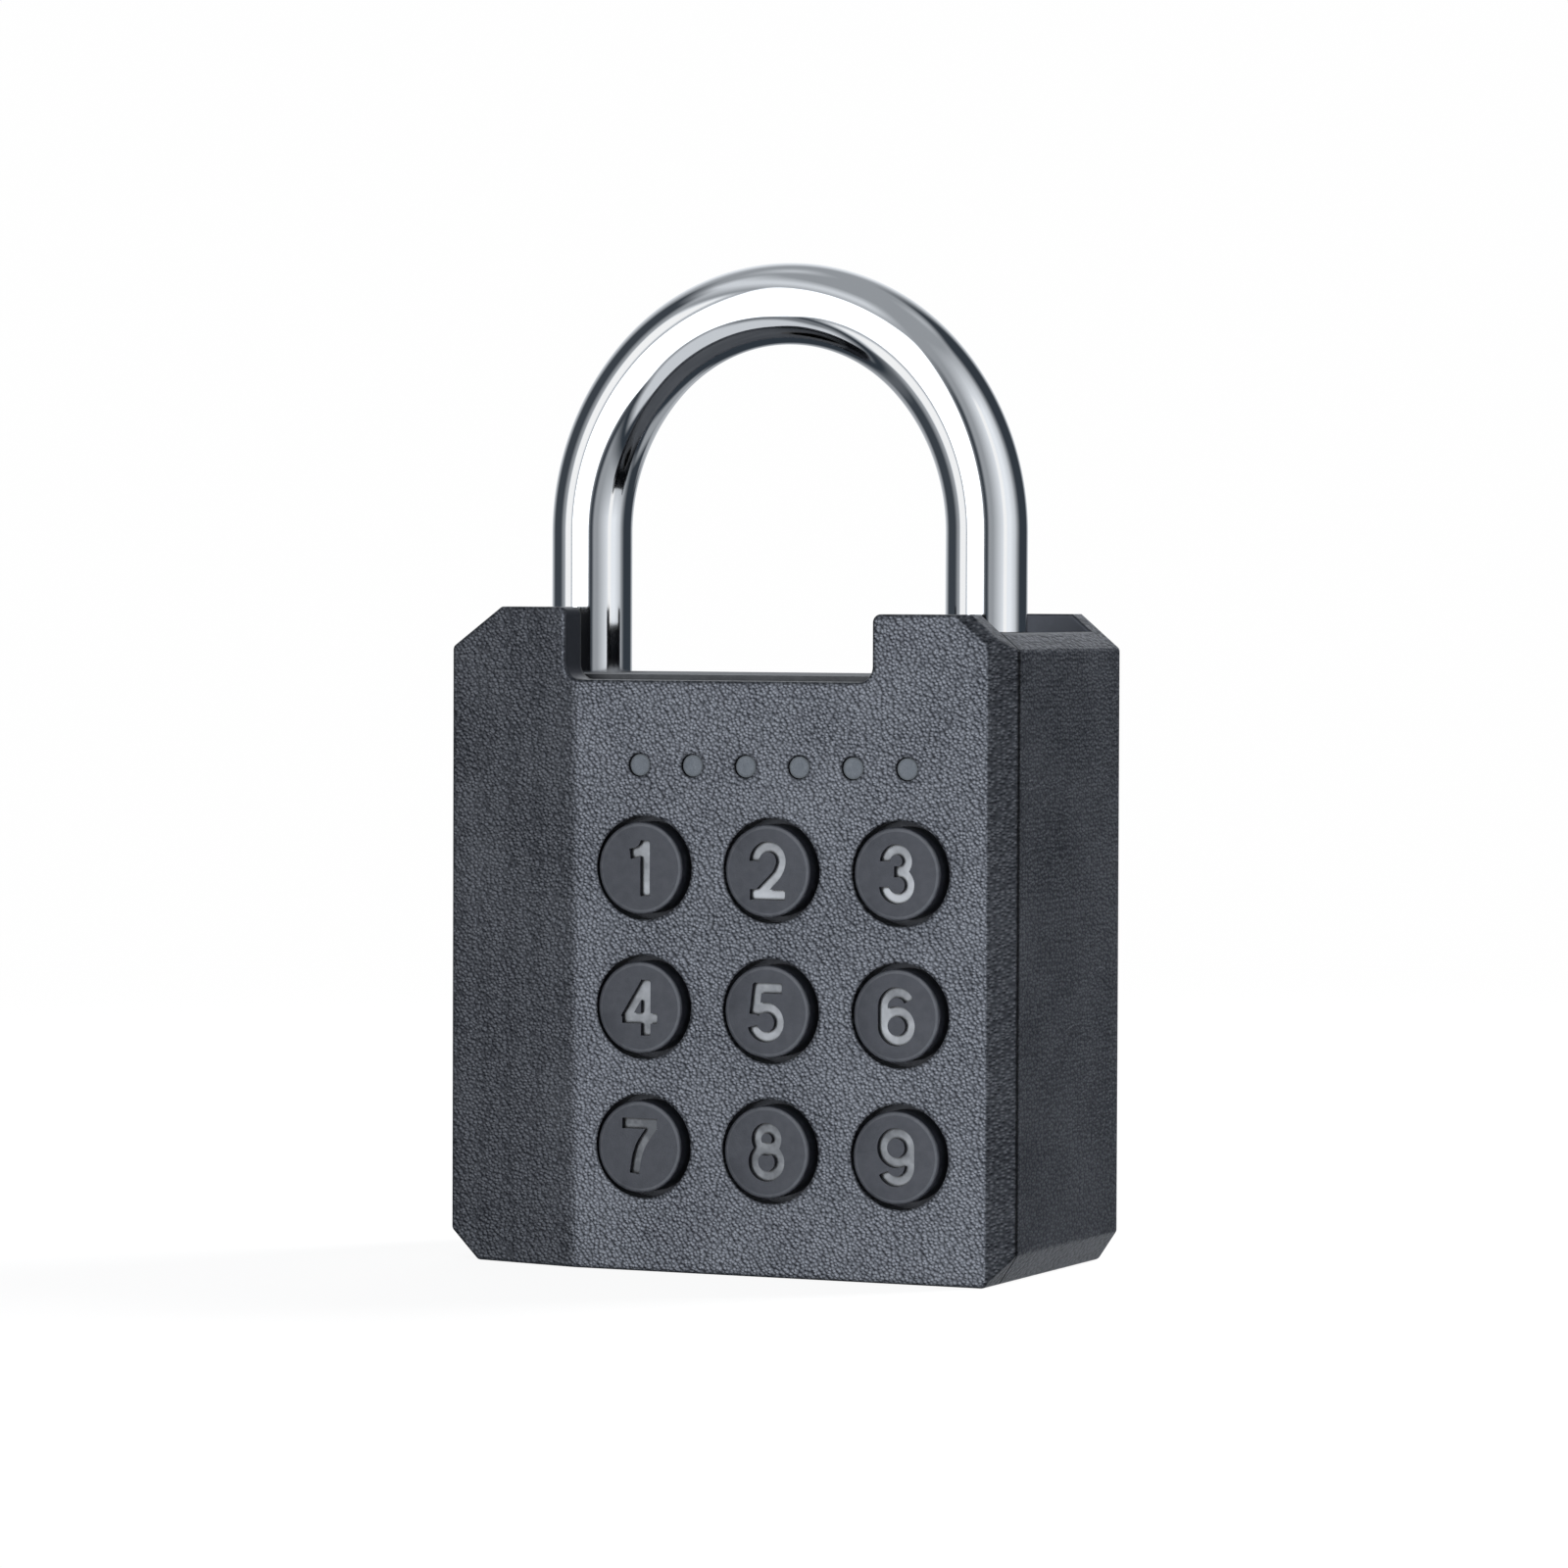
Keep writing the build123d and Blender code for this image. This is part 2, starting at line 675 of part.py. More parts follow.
# Shackle: a three-centred bow on two straight legs
bow_rise = leg_x + crown_rise
crown_radius = leg_x - crown_inset
side_radius = (leg_x**2 + (bow_rise - crown_radius) ** 2 - crown_radius**2) / (2 * crown_inset)
crown_height = bow_spring_height + bow_rise - crown_radius
blend_angle = degrees(atan2(bow_rise - crown_radius, side_radius - leg_x))
notch_room = bolt_height / 2 + toe_notch_gap
groove_floor = pin_height - pin_radius - shackle_lift - flat_clearance
groove_top = pin_height + pin_radius + flat_clearance
with BuildPart() as shackle:
    with BuildLine(Plane.XZ.offset(-shackle_y)) as path:
        Line((leg_x, heel_end), (leg_x, bow_spring_height))
        CenterArc((leg_x - side_radius, bow_spring_height), side_radius, 0, blend_angle)
        CenterArc((0, crown_height), crown_radius, blend_angle, 180 - 2 * blend_angle)
        CenterArc((side_radius - leg_x, bow_spring_height), side_radius, 180 - blend_angle, blend_angle)
        Line((-leg_x, bow_spring_height), (-leg_x, toe_end))
    with BuildSketch(Plane.XY.offset(heel_end)):
        with Locations((leg_x, shackle_y)):
            Circle(shackle_radius)
    sweep(path=path.wires()[0])
    ends = shackle.faces().filter_by(Axis.Z)
    chamfer(ends.edges(), leg_end_chamfer)
    # Notch for the bolt, on the inner side of the toe leg
    with BuildSketch(facing(shackle_y + shackle_diameter)):
        with Locations((shackle_radius - leg_x - toe_notch_depth, bolt_middle_height)):
            Rectangle(toe_notch_depth + overrun, 2 * notch_room, align=(Align.MIN, Align.CENTER))
    extrude(amount=2 * shackle_diameter, mode=Mode.SUBTRACT)
    # Flat for the heel pin, and the ring groove at its foot in which the open shackle turns
    with BuildSketch(facing(shackle_y + shackle_diameter)):
        with Locations((pin_x + pin_radius + flat_clearance, groove_floor)):
            Rectangle(
                pin_bite + flat_clearance + overrun,
                groove_top - groove_floor,
                align=(Align.MAX, Align.MIN),
            )
    extrude(amount=2 * shackle_diameter, mode=Mode.SUBTRACT)
    with BuildSketch(Plane.XY.offset(groove_floor)):
        with Locations((leg_x, shackle_y)):
            Circle(shackle_diameter)
            Circle(ring_groove_radius, mode=Mode.SUBTRACT)
    extrude(amount=ring_groove_height, mode=Mode.SUBTRACT)
save(shackle, "shackle")

# Shackle seals: rubber rings in the deck
for name, middle in (("toe_seal", -leg_x), ("heel_seal", leg_x)):
    with BuildPart() as seal:
        with BuildSketch(Plane.XY.offset(seal_floor)):
            with Locations((middle, shackle_y)):
                Circle(seal_outer_radius)
                Circle(shackle_radius + seal_clearance, mode=Mode.SUBTRACT)
        extrude(amount=seal_height)
    save(seal, name)

# Heel pin, pressed in from the back
with BuildPart() as heel_pin:
    with BuildSketch(facing(chassis_back)):
        with Locations((pin_x, pin_height)):
            Circle(pin_radius)
    extrude(amount=chassis_back - shackle_y + bore_radius + pin_radius - chassis_gap)
save(heel_pin, "heel_pin")

# Shackle spring: one unbroken wire under the heel leg, with no closed rings
spring_radius = spring_outer_radius - spring_wire / 2
spring_start = heel_bore_floor + spring_wire / 2 + spring_end_gap
spring_end = heel_end - spring_wire / 2 - spring_end_gap
with BuildPart() as shackle_spring:
    coil = spring_curve(spring_radius, spring_start, spring_end, spring_turns)
    coil = coil.moved(Location((leg_x, shackle_y, 0)))
    with BuildSketch(Plane(origin=coil @ 0, z_dir=coil % 0)):
        Circle(spring_wire / 2)
    sweep(path=coil)
save(shackle_spring, "shackle_spring")
spring_gap = (spring_end - spring_start) / spring_turns - spring_wire
print(f"shackle spring: least gap between curls {spring_gap:.2f} mm")

# Lock bolt: a bar with a chamfered nose and a rack cut into its back
rack_root = tooth_addendum + tooth_dedendum
with BuildPart() as lock_bolt:
    with BuildSketch(Plane.XY.offset(bolt_floor)):
        with Locations((bolt_nose, shackle_y)):
            Rectangle(bolt_tail - bolt_nose, bolt_width, align=(Align.MIN, Align.CENTER))
        # The gaps of the rack, one of which holds the lowest tooth of the pinion
        with BuildSketch(mode=Mode.PRIVATE) as gap:
            root_half = tooth_pitch / 2 - tooth_half(0)
            tip_half = tooth_pitch / 2 - tooth_half(1)
            with BuildLine():
                Polyline(
                    (-root_half, -rack_root),
                    (root_half, -rack_root),
                    (tip_half, 0),
                    (tip_half, overrun),
                    (-tip_half, overrun),
                    (-tip_half, 0),
                    close=True,
                )
            make_face()
        rack_places = [
            (pinion_x + (index - rack_lead_count) * tooth_pitch, bolt_back) for index in range(rack_gap_count)
        ]
        with Locations(*rack_places):
            add(gap.sketch, mode=Mode.SUBTRACT)
    extrude(amount=bolt_height)
    nose_edges = lock_bolt.faces().sort_by(Axis.X)[0].edges()
    chamfer(nose_edges, bolt_nose_chamfer)
save(lock_bolt, "lock_bolt")

# Drive pinion: straight-sided teeth on a hub with a flatted bore. One tooth points at the rack
with BuildPart() as drive_pinion:
    root_radius = pinion_radius - tooth_dedendum
    tip_radius = pinion_radius + tooth_addendum
    with BuildSketch(Plane.XY.offset(bolt_floor + (bolt_height - pinion_height) / 2)):
        with Locations((pinion_x, pinion_y)):
            Circle(root_radius)
            with BuildSketch(mode=Mode.PRIVATE) as tooth:
                with BuildLine():
                    Polyline(
                        (0, -tooth_half(0)),
                        (root_radius, -tooth_half(0)),
                        (tip_radius, -tooth_half(1)),
                        (tip_radius, tooth_half(1)),
                        (root_radius, tooth_half(0)),
                        (0, tooth_half(0)),
                        close=True,
                    )
                make_face()
            with PolarLocations(0, pinion_teeth, start_angle=-90):
                add(tooth.sketch)
            add(shaft_section(shaft_clearance), mode=Mode.SUBTRACT)
    extrude(amount=pinion_height)
save(drive_pinion, "drive_pinion")

# Output shaft: from inside the gearbox up through the pinion
with BuildPart() as output_shaft:
    with BuildSketch(Plane.XY.offset(gearbox_top - shaft_sunk)):
        with Locations((pinion_x, pinion_y)):
            add(shaft_section(0))
    extrude(amount=bolt_top - gearbox_top + shaft_sunk)
save(output_shaft, "output_shaft")

# Gearbox: a plated block with a round hole for its shaft and a collar on its top
with BuildPart() as gearbox:
    with BuildSketch(Plane.XY.offset(gearbox_top - gearbox_height)):
        with Locations((pinion_x, pinion_y)):
            RectangleRounded(gearbox_width, gearbox_depth, switch_corner)
    extrude(amount=gearbox_height)
    with BuildSketch(Plane.XY.offset(gearbox_top - shaft_sunk - shaft_clearance)):
        with Locations((pinion_x, pinion_y)):
            Circle(shaft_radius + shaft_clearance)
    extrude(amount=shaft_sunk + shaft_clearance + overrun, mode=Mode.SUBTRACT)
    # Slots between the gearbox plates
    plate_step = gearbox_height / gearbox_plates
    with BuildSketch(Plane.XZ.offset(-pinion_y - gearbox_depth)):
        slot_places = [
            (pinion_x + side * gearbox_width / 2, gearbox_top - (index + 1 / 2) * plate_step)
            for side in (-1, 1)
            for index in range(1, gearbox_plates - 1)
        ]
        with Locations(*slot_places):
            Rectangle(2 * plate_slot_depth, plate_slot_height)
    extrude(amount=2 * gearbox_depth, mode=Mode.SUBTRACT)
save(gearbox, "gearbox")

# Gear motor: a round can with two flats, and the boss of its rear bearing
with BuildPart() as gear_motor:
    with BuildSketch(Plane.XY.offset(motor_top - motor_height)):
        with Locations((pinion_x, pinion_y)):
            Circle(gearbox_width / 2)
            Rectangle(gearbox_width, gearbox_depth, mode=Mode.INTERSECT)
    extrude(amount=motor_height)
    with BuildSketch(Plane.XY.offset(motor_top - motor_height)):
        with Locations((pinion_x, pinion_y)):
            Circle(motor_boss_radius)
    extrude(amount=-motor_boss_height)
save(gear_motor, "gear_motor")

# Main board, with holes for the cover bosses
with BuildPart() as main_board:
    with BuildSketch(facing(board_back)):
        add(inner_outline(tray_gap + board_margin, tray_top - board_margin))
        with Locations(*boss_places):
            Circle(boss_radius + board_margin, mode=Mode.SUBTRACT)
        with Locations(*board_screw_places):
            Circle(board_screw_radius + screw_hole_gap, mode=Mode.SUBTRACT)
    extrude(amount=board_thickness)
save(main_board, "main_board")

# Keys, their switches and the plungers between them
for number, place in enumerate(key_places, start=1):
    with BuildPart() as key:
        with BuildSketch(facing(key_back)):
            with Locations(place):
                Circle(key_flange_radius)
        extrude(amount=key_flange_depth)
        with BuildSketch(facing(wall_back + key_flange_gap)):
            with Locations(place):
                Circle(key_cap_radius)
        extrude(amount=cover_wall + key_flange_gap + key_proud)
        chamfer(key.edges().sort_by(Axis.Y)[0], key_cap_edge)
    save(key, f"key_{number}")

    with BuildPart() as switch:
        with BuildSketch(facing(board_front)):
            with Locations(place):
                RectangleRounded(switch_size, switch_size, switch_corner)
        extrude(amount=switch_height)
        with BuildSketch(facing(switch_front)):
            with Locations(place):
                Circle(plunger_radius + plunger_clearance)
        extrude(amount=-switch_well_depth, mode=Mode.SUBTRACT)
    save(switch, f"switch_{number}")

    with BuildPart() as plunger:
        with BuildSketch(facing(key_back)):
            with Locations(place):
                Circle(plunger_radius)
        extrude(amount=key_back - plunger_end)
    save(plunger, f"switch_plunger_{number}")

# Light guide: round windows on a web behind the cover, with a leg behind each that nears its diode
guide_back = board_front - led_depth - guide_leg_gap
with BuildPart() as light_guide:
    with BuildSketch(facing(wall_back + guide_web_thickness)):
        with Locations((key_column_offset, window_row_height)):
            SlotOverall((window_count - 1) * window_pitch + 2 * guide_web_end, guide_web_height)
    extrude(amount=guide_web_thickness - key_flange_gap)
    with BuildSketch(facing(guide_back)):
        with Locations(*window_places):
            Circle(window_radius)
    extrude(amount=guide_back - front_y - window_recess)
save(light_guide, "light_guide")

for number, place in enumerate(window_places, start=1):
    with BuildPart() as led:
        with BuildSketch(facing(board_front)):
            with Locations(place):
                Rectangle(led_width, led_height)
        extrude(amount=led_depth)
    save(led, f"indicator_led_{number}")

# Battery cell, with its raised pole on top, between two contact plates
with BuildPart() as battery:
    with BuildSketch(Plane.XY.offset(cell_floor)):
        with Locations((cell_x, cell_y)):
            Circle(cell_radius)
    extrude(amount=cell_top - cell_floor)
    fillet(battery.edges().filter_by(GeomType.CIRCLE), cell_edge)
    with BuildSketch(Plane.XY.offset(cell_top)):
        with Locations((cell_x, cell_y)):
            Circle(cell_cap_radius)
    extrude(amount=cell_cap_height)
save(battery, "battery")

contact_places = (("lower_contact", cell_floor - contact_thickness), ("upper_contact", pole_top))
for name, floor in contact_places:
    with BuildPart() as contact:
        with BuildSketch(Plane.XY.offset(floor)):
            with Locations((cell_x, cell_y)):
                RectangleRounded(contact_size, contact_size, switch_corner)
        extrude(amount=contact_thickness)
    save(contact, name)

# Charging socket: a rounded shell with a tongue, open to the base
with BuildPart() as charge_socket:
    with BuildSketch(Plane.XY.offset(socket_floor)):
        with Locations((0, socket_y)):
            SlotOverall(socket_width, socket_depth)
    extrude(amount=socket_height)
    with BuildSketch(Plane.XY.offset(socket_floor)):
        with Locations((0, socket_y)):
            SlotOverall(socket_width - 2 * socket_shell, socket_depth - 2 * socket_shell)
    extrude(amount=socket_mouth, mode=Mode.SUBTRACT)
    with BuildSketch(Plane.XY.offset(socket_floor + socket_mouth - socket_tongue_length)):
        with Locations((0, socket_y)):
            Rectangle(socket_tongue_width, socket_tongue_depth)
    extrude(amount=socket_tongue_length)
save(charge_socket, "charge_socket")

# Port plug: a rubber plug whose flange lies in the recess of the base
with BuildPart() as port_plug:
    with BuildSketch(Plane.XY.offset(plug_floor)):
        with Locations((0, socket_y)):
            SlotOverall(plug_flange_width, plug_flange_depth)
    extrude(amount=plug_flange_height)
    with BuildSketch(Plane.XY.offset(plug_floor)):
        with Locations((0, socket_y)):
            SlotOverall(port_width - 2 * port_gap, port_depth - 2 * port_gap)
    extrude(amount=socket_floor - plug_tip_gap - plug_floor)
save(port_plug, "port_plug")

# Cover screws, from the back of the chassis into the bosses of the cover
with BuildPart() as cover_screws:
    with BuildSketch(facing(chassis_back)):
        with Locations(*boss_places):
            Circle(screw_head_radius)
    extrude(amount=screw_head_height)
    with BuildSketch(facing(chassis_back)):
        with Locations(*boss_places):
            Circle(cover_screw_radius - screw_thread_gap)
    extrude(amount=chassis_back - board_back + cover_screw_grip - screw_end_gap)
    with BuildSketch(facing(chassis_back)):
        with Locations(*boss_places):
            RegularPolygon(screw_drive_radius, 6)
    extrude(amount=screw_drive_depth, mode=Mode.SUBTRACT)
save(cover_screws, "cover_screws")

# Board screws, from the front of the board into the chassis
with BuildPart() as board_screws:
    with BuildSketch(facing(board_front)):
        with Locations(*board_screw_places):
            Circle(board_screw_head_radius)
    extrude(amount=board_screw_head_height)
    with BuildSketch(facing(board_front)):
        with Locations(*board_screw_places):
            Circle(board_screw_radius - screw_thread_gap)
    extrude(amount=-board_thickness - board_screw_length + screw_end_gap)
save(board_screws, "board_screws")

# Chassis screw, through the floor of the toe bore into the boss of the housing
with BuildPart() as chassis_screw:
    with BuildSketch(Plane.XY.offset(chassis_screw_seat)):
        with Locations((chassis_screw_x, shackle_y)):
            Circle(chassis_screw_head_radius)
    extrude(amount=chassis_screw_head_height)
    with BuildSketch(Plane.XY.offset(chassis_screw_seat)):
        with Locations((chassis_screw_x, shackle_y)):
            Circle(chassis_screw_radius - screw_thread_gap)
    extrude(amount=-chassis_screw_length)
    with BuildSketch(Plane.XY.offset(chassis_screw_seat + chassis_screw_head_height)):
        with Locations((chassis_screw_x, shackle_y)):
            RegularPolygon(chassis_screw_radius, 6)
    extrude(amount=-screw_drive_depth, mode=Mode.SUBTRACT)
save(chassis_screw, "chassis_screw")
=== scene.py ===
"""Looks of a keypad padlock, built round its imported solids. Lengths are in metres."""

from __future__ import annotations

import json
import logging
import math
from dataclasses import dataclass
from enum import Enum
from typing import Iterable, Sequence

import bmesh
import bpy
from mathutils import Matrix, Vector


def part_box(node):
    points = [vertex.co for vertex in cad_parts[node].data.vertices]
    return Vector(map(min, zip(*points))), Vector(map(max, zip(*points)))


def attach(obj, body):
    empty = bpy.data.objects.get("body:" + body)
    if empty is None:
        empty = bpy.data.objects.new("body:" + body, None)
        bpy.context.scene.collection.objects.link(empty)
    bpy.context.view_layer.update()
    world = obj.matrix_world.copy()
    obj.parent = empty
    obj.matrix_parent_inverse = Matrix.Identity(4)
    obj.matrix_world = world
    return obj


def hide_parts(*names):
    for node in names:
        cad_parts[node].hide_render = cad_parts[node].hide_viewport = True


MM = 0.001
FULL_TURN = 2 * math.pi
SHARP_ANGLE = 30.0
MERGE_REACH = 0.0005 * MM
NEAR = 0.01 * MM
NOISE_MIDDLE = 0.5
Socket = bpy.types.NodeSocket
Colour = tuple[float, float, float]
log = logging.getLogger("padlock")
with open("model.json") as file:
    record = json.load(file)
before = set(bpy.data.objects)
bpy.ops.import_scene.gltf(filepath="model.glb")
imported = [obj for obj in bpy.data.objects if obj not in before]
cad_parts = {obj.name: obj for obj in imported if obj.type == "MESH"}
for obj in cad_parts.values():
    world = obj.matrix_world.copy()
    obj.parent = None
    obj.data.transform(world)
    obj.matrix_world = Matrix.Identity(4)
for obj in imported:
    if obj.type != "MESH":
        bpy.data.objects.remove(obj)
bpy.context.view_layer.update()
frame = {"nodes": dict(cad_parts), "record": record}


@dataclass(frozen=True)
class Layers:
    """The finer layers of a noise: how many there are, and the strength of each beside the last."""

    count: float
    strength: float


MOTTLE_LAYERS = Layers(3.0, 0.55)
GRAIN_LAYERS = Layers(2.0, 0.5)
MIRROR_LAYERS = Layers(1.0, 0.4)
FOLD_LAYERS = Layers(2.0, 0.6)


class Nodes:
    """Adds nodes to one node tree."""

    def __init__(self, tree: bpy.types.NodeTree) -> None:
        """Starts with the tree empty."""
        self.tree = tree
        self.tree.nodes.clear()

    def add(self, kind: str, settings: dict | None = None, inputs: dict | None = None) -> bpy.types.Node:
        """Adds a node.

        Args:
            kind: The node type, without its ShaderNode prefix.
            settings: Properties to set on it.
            inputs: Sockets to link, or values to set, by input name or number.

        Returns:
            The new node.
        """
        node = self.tree.nodes.new("ShaderNode" + kind)
        for key, value in (settings or {}).items():
            setattr(node, key, value)
        for key, value in (inputs or {}).items():
            if isinstance(value, Socket):
                self.link(value, node.inputs[key])
            else:
                node.inputs[key].default_value = value
        return node

    def link(self, start: Socket, end: Socket) -> None:
        """Links an output to an input."""
        self.tree.links.new(start, end)

    def maths(self, work: str, *values: Socket | float) -> Socket:
        """Adds a maths node for an operation with its operands, and gives the result."""
        return self.add("Math", {"operation": work}, dict(enumerate(values))).outputs[0]


class Bench(Nodes):
    """Builds one node material piece by piece."""

    noise_low: float = 0.3
    noise_high: float = 0.7
    tone_low: float = 0.35
    tone_high: float = 0.65

    def __init__(self, name: str) -> None:
        """Starts a material.

        Args:
            name: The material's name.
        """
        self.material = bpy.data.materials.new(name)
        self.material.use_nodes = True
        super().__init__(self.material.node_tree)
        output = self.add("OutputMaterial")
        self.shader = self.add("BsdfPrincipled")
        self.link(self.shader.outputs["BSDF"], output.inputs["Surface"])

    def noise(self, place: Socket, scale: float, layers: Layers) -> Socket:
        """Adds a noise texture and gives its factor, which is mostly between noise_low and noise_high."""
        settings = {"Vector": place, "Scale": scale, "Detail": layers.count, "Roughness": layers.strength}
        return self.add("TexNoise", inputs=settings).outputs["Fac"]

    def scaled(self, value: Socket, low: float, high: float) -> Socket:
        """Maps a noise factor to a range.

        Args:
            value: The factor.
            low: The least result.
            high: The greatest result.

        Returns:
            The mapped value.
        """
        limits = {
            "Value": value, "From Min": self.noise_low, "From Max": self.noise_high,
            "To Min": low, "To Max": high,
        }
        return self.add("MapRange", inputs=limits).outputs["Result"]

    def blend_colours(self, tone: Socket, first: Sequence[float], second: Sequence[float]) -> Socket:
        """Blends two colours.

        Args:
            tone: The factor, which counts from tone_low to tone_high.
            first: The colour at its low end.
            second: The colour at its high end.

        Returns:
            The blended colour.
        """
        node = self.add("ValToRGB", inputs={"Fac": tone})
        start, end = node.color_ramp.elements
        start.position, end.position = self.tone_low, self.tone_high
        start.color = (*first, 1.0)
        end.color = (*second, 1.0)
        return node.outputs["Color"]

    def darken(self, colour: Socket, away: Socket, clean: float, dark: float, least: float) -> Socket:
        """Multiplies a colour by a shade that falls as a distance goes from one value to another.

        Args:
            colour: The colour.
            away: The distance.
            clean: Where the colour is whole.
            dark: Where it is darkest.
            least: Its share there.

        Returns:
            The shaded colour.
        """
        limits = {"Value": away, "From Min": dark, "From Max": clean, "To Min": least, "To Max": 1.0}
        shade = self.add("MapRange", inputs=limits).outputs["Result"]
        blend = {"data_type": "RGBA", "blend_type": "MULTIPLY"}
        # The colour sockets share their names with other sockets of the node, so they go by number
        return self.add("Mix", blend, {"Factor": 1.0, 6: colour, 7: shade}).outputs[2]


class Texture(Enum):
    """The surface texture of a finish."""

    CAST = "cast"
    MOULDED = "moulded"
    BRUSHED = "brushed"
    MIRROR = "mirror"
    TRACES = "traces"


@dataclass(frozen=True)
class Ground:
    """What every pattern is made from: coordinates on the padlock, plain and mapped, and two noises."""

    place: Socket
    mapped: Socket
    slow: Socket
    fine: Socket


@dataclass(frozen=True)
class Finish:
    """One surface finish: its colours, gloss and texture."""

    name: str
    colour: Colour
    second: Colour
    texture: Texture
    roughness: float = 0.4
    roughness_range: float = 0.05
    metallic: float = 0.0
    specular: float = 0.5
    tint: Colour = (1.0, 1.0, 1.0)
    coat: float = 0.0
    grain: float = 0.5 * MM
    depth: float = 0.02 * MM
    mottle: float = 6 * MM
    edge: float = 0.0
    edge_samples: int = 6
    stretch: tuple[float, float, float] = (1.0, 1.0, 1.0)
    turn: tuple[float, float, float] = (0.0, 0.0, 0.0)
    streak_stretch: float = 14.0
    trace_size: float = 0.3
    trace_gap: float = 0.08

    def material(self) -> bpy.types.Material:
        """Builds the node material of this finish.

        Returns:
            The new material.
        """
        bench = Bench(self.name)
        place = bench.add("TexCoord").outputs["Object"]
        turned = bench.add("Mapping", inputs={"Vector": place, "Rotation": self.turn, "Scale": self.stretch})
        mapped = turned.outputs["Vector"]
        slow = bench.noise(place, 1 / self.mottle, MOTTLE_LAYERS)
        fine = bench.noise(mapped, 1 / self.grain, GRAIN_LAYERS)
        height, tone = self.pattern(bench, Ground(place, mapped, slow, fine))
        colour = self.shade(bench, place, bench.blend_colours(tone, self.colour, self.second))
        low, high = self.roughness - self.roughness_range, self.roughness + self.roughness_range
        shader = bench.shader
        shader.inputs["Metallic"].default_value = self.metallic
        shader.inputs["Specular IOR Level"].default_value = self.specular
        shader.inputs["Specular Tint"].default_value = (*self.tint, 1.0)
        shader.inputs["Coat Weight"].default_value = self.coat
        bench.link(colour, shader.inputs["Base Color"])
        bench.link(bench.scaled(fine, low, high), shader.inputs["Roughness"])
        bump = bench.add("Bump", inputs={"Height": height, "Distance": self.depth, "Strength": 1.0})
        if self.edge:
            rounded = bench.add("Bevel", {"samples": self.edge_samples}, {"Radius": self.edge})
            bench.link(rounded.outputs["Normal"], bump.inputs["Normal"])
        bench.link(bump.outputs["Normal"], shader.inputs["Normal"])
        return bench.material

    def pattern(self, bench: Bench, ground: Ground) -> tuple[Socket, Socket]:
        """Gives the relief and the colour pattern of the surface.

        Args:
            bench: The material being built.
            ground: The coordinates and noises that it is made from.

        Returns:
            The height from 0 to 1, and the tone between the two colours.
        """
        if self.texture is Texture.MIRROR:
            return bench.noise(ground.mapped, 1 / self.grain, MIRROR_LAYERS), ground.slow
        if self.texture is Texture.BRUSHED:
            stretched = {"Vector": ground.mapped, "Scale": (1.0, 1.0, self.streak_stretch)}
            streaks = bench.add("Mapping", inputs=stretched).outputs["Vector"]
            return bench.noise(streaks, 1 / self.grain, GRAIN_LAYERS), ground.slow
        if self.texture is Texture.TRACES:
            kind = {"feature": "DISTANCE_TO_EDGE", "distance": "MANHATTAN"}
            size = {"Vector": ground.mapped, "Scale": self.trace_size / self.grain}
            lines = bench.add("TexVoronoi", kind, size).outputs["Distance"]
            return bench.maths("GREATER_THAN", lines, self.trace_gap), ground.slow
        return ground.fine, ground.slow

    def shade(self, bench: Bench, place: Socket, colour: Socket) -> Socket:
        """Gives the colour with this finish's painted shade, of which a plain finish has none."""
        return colour


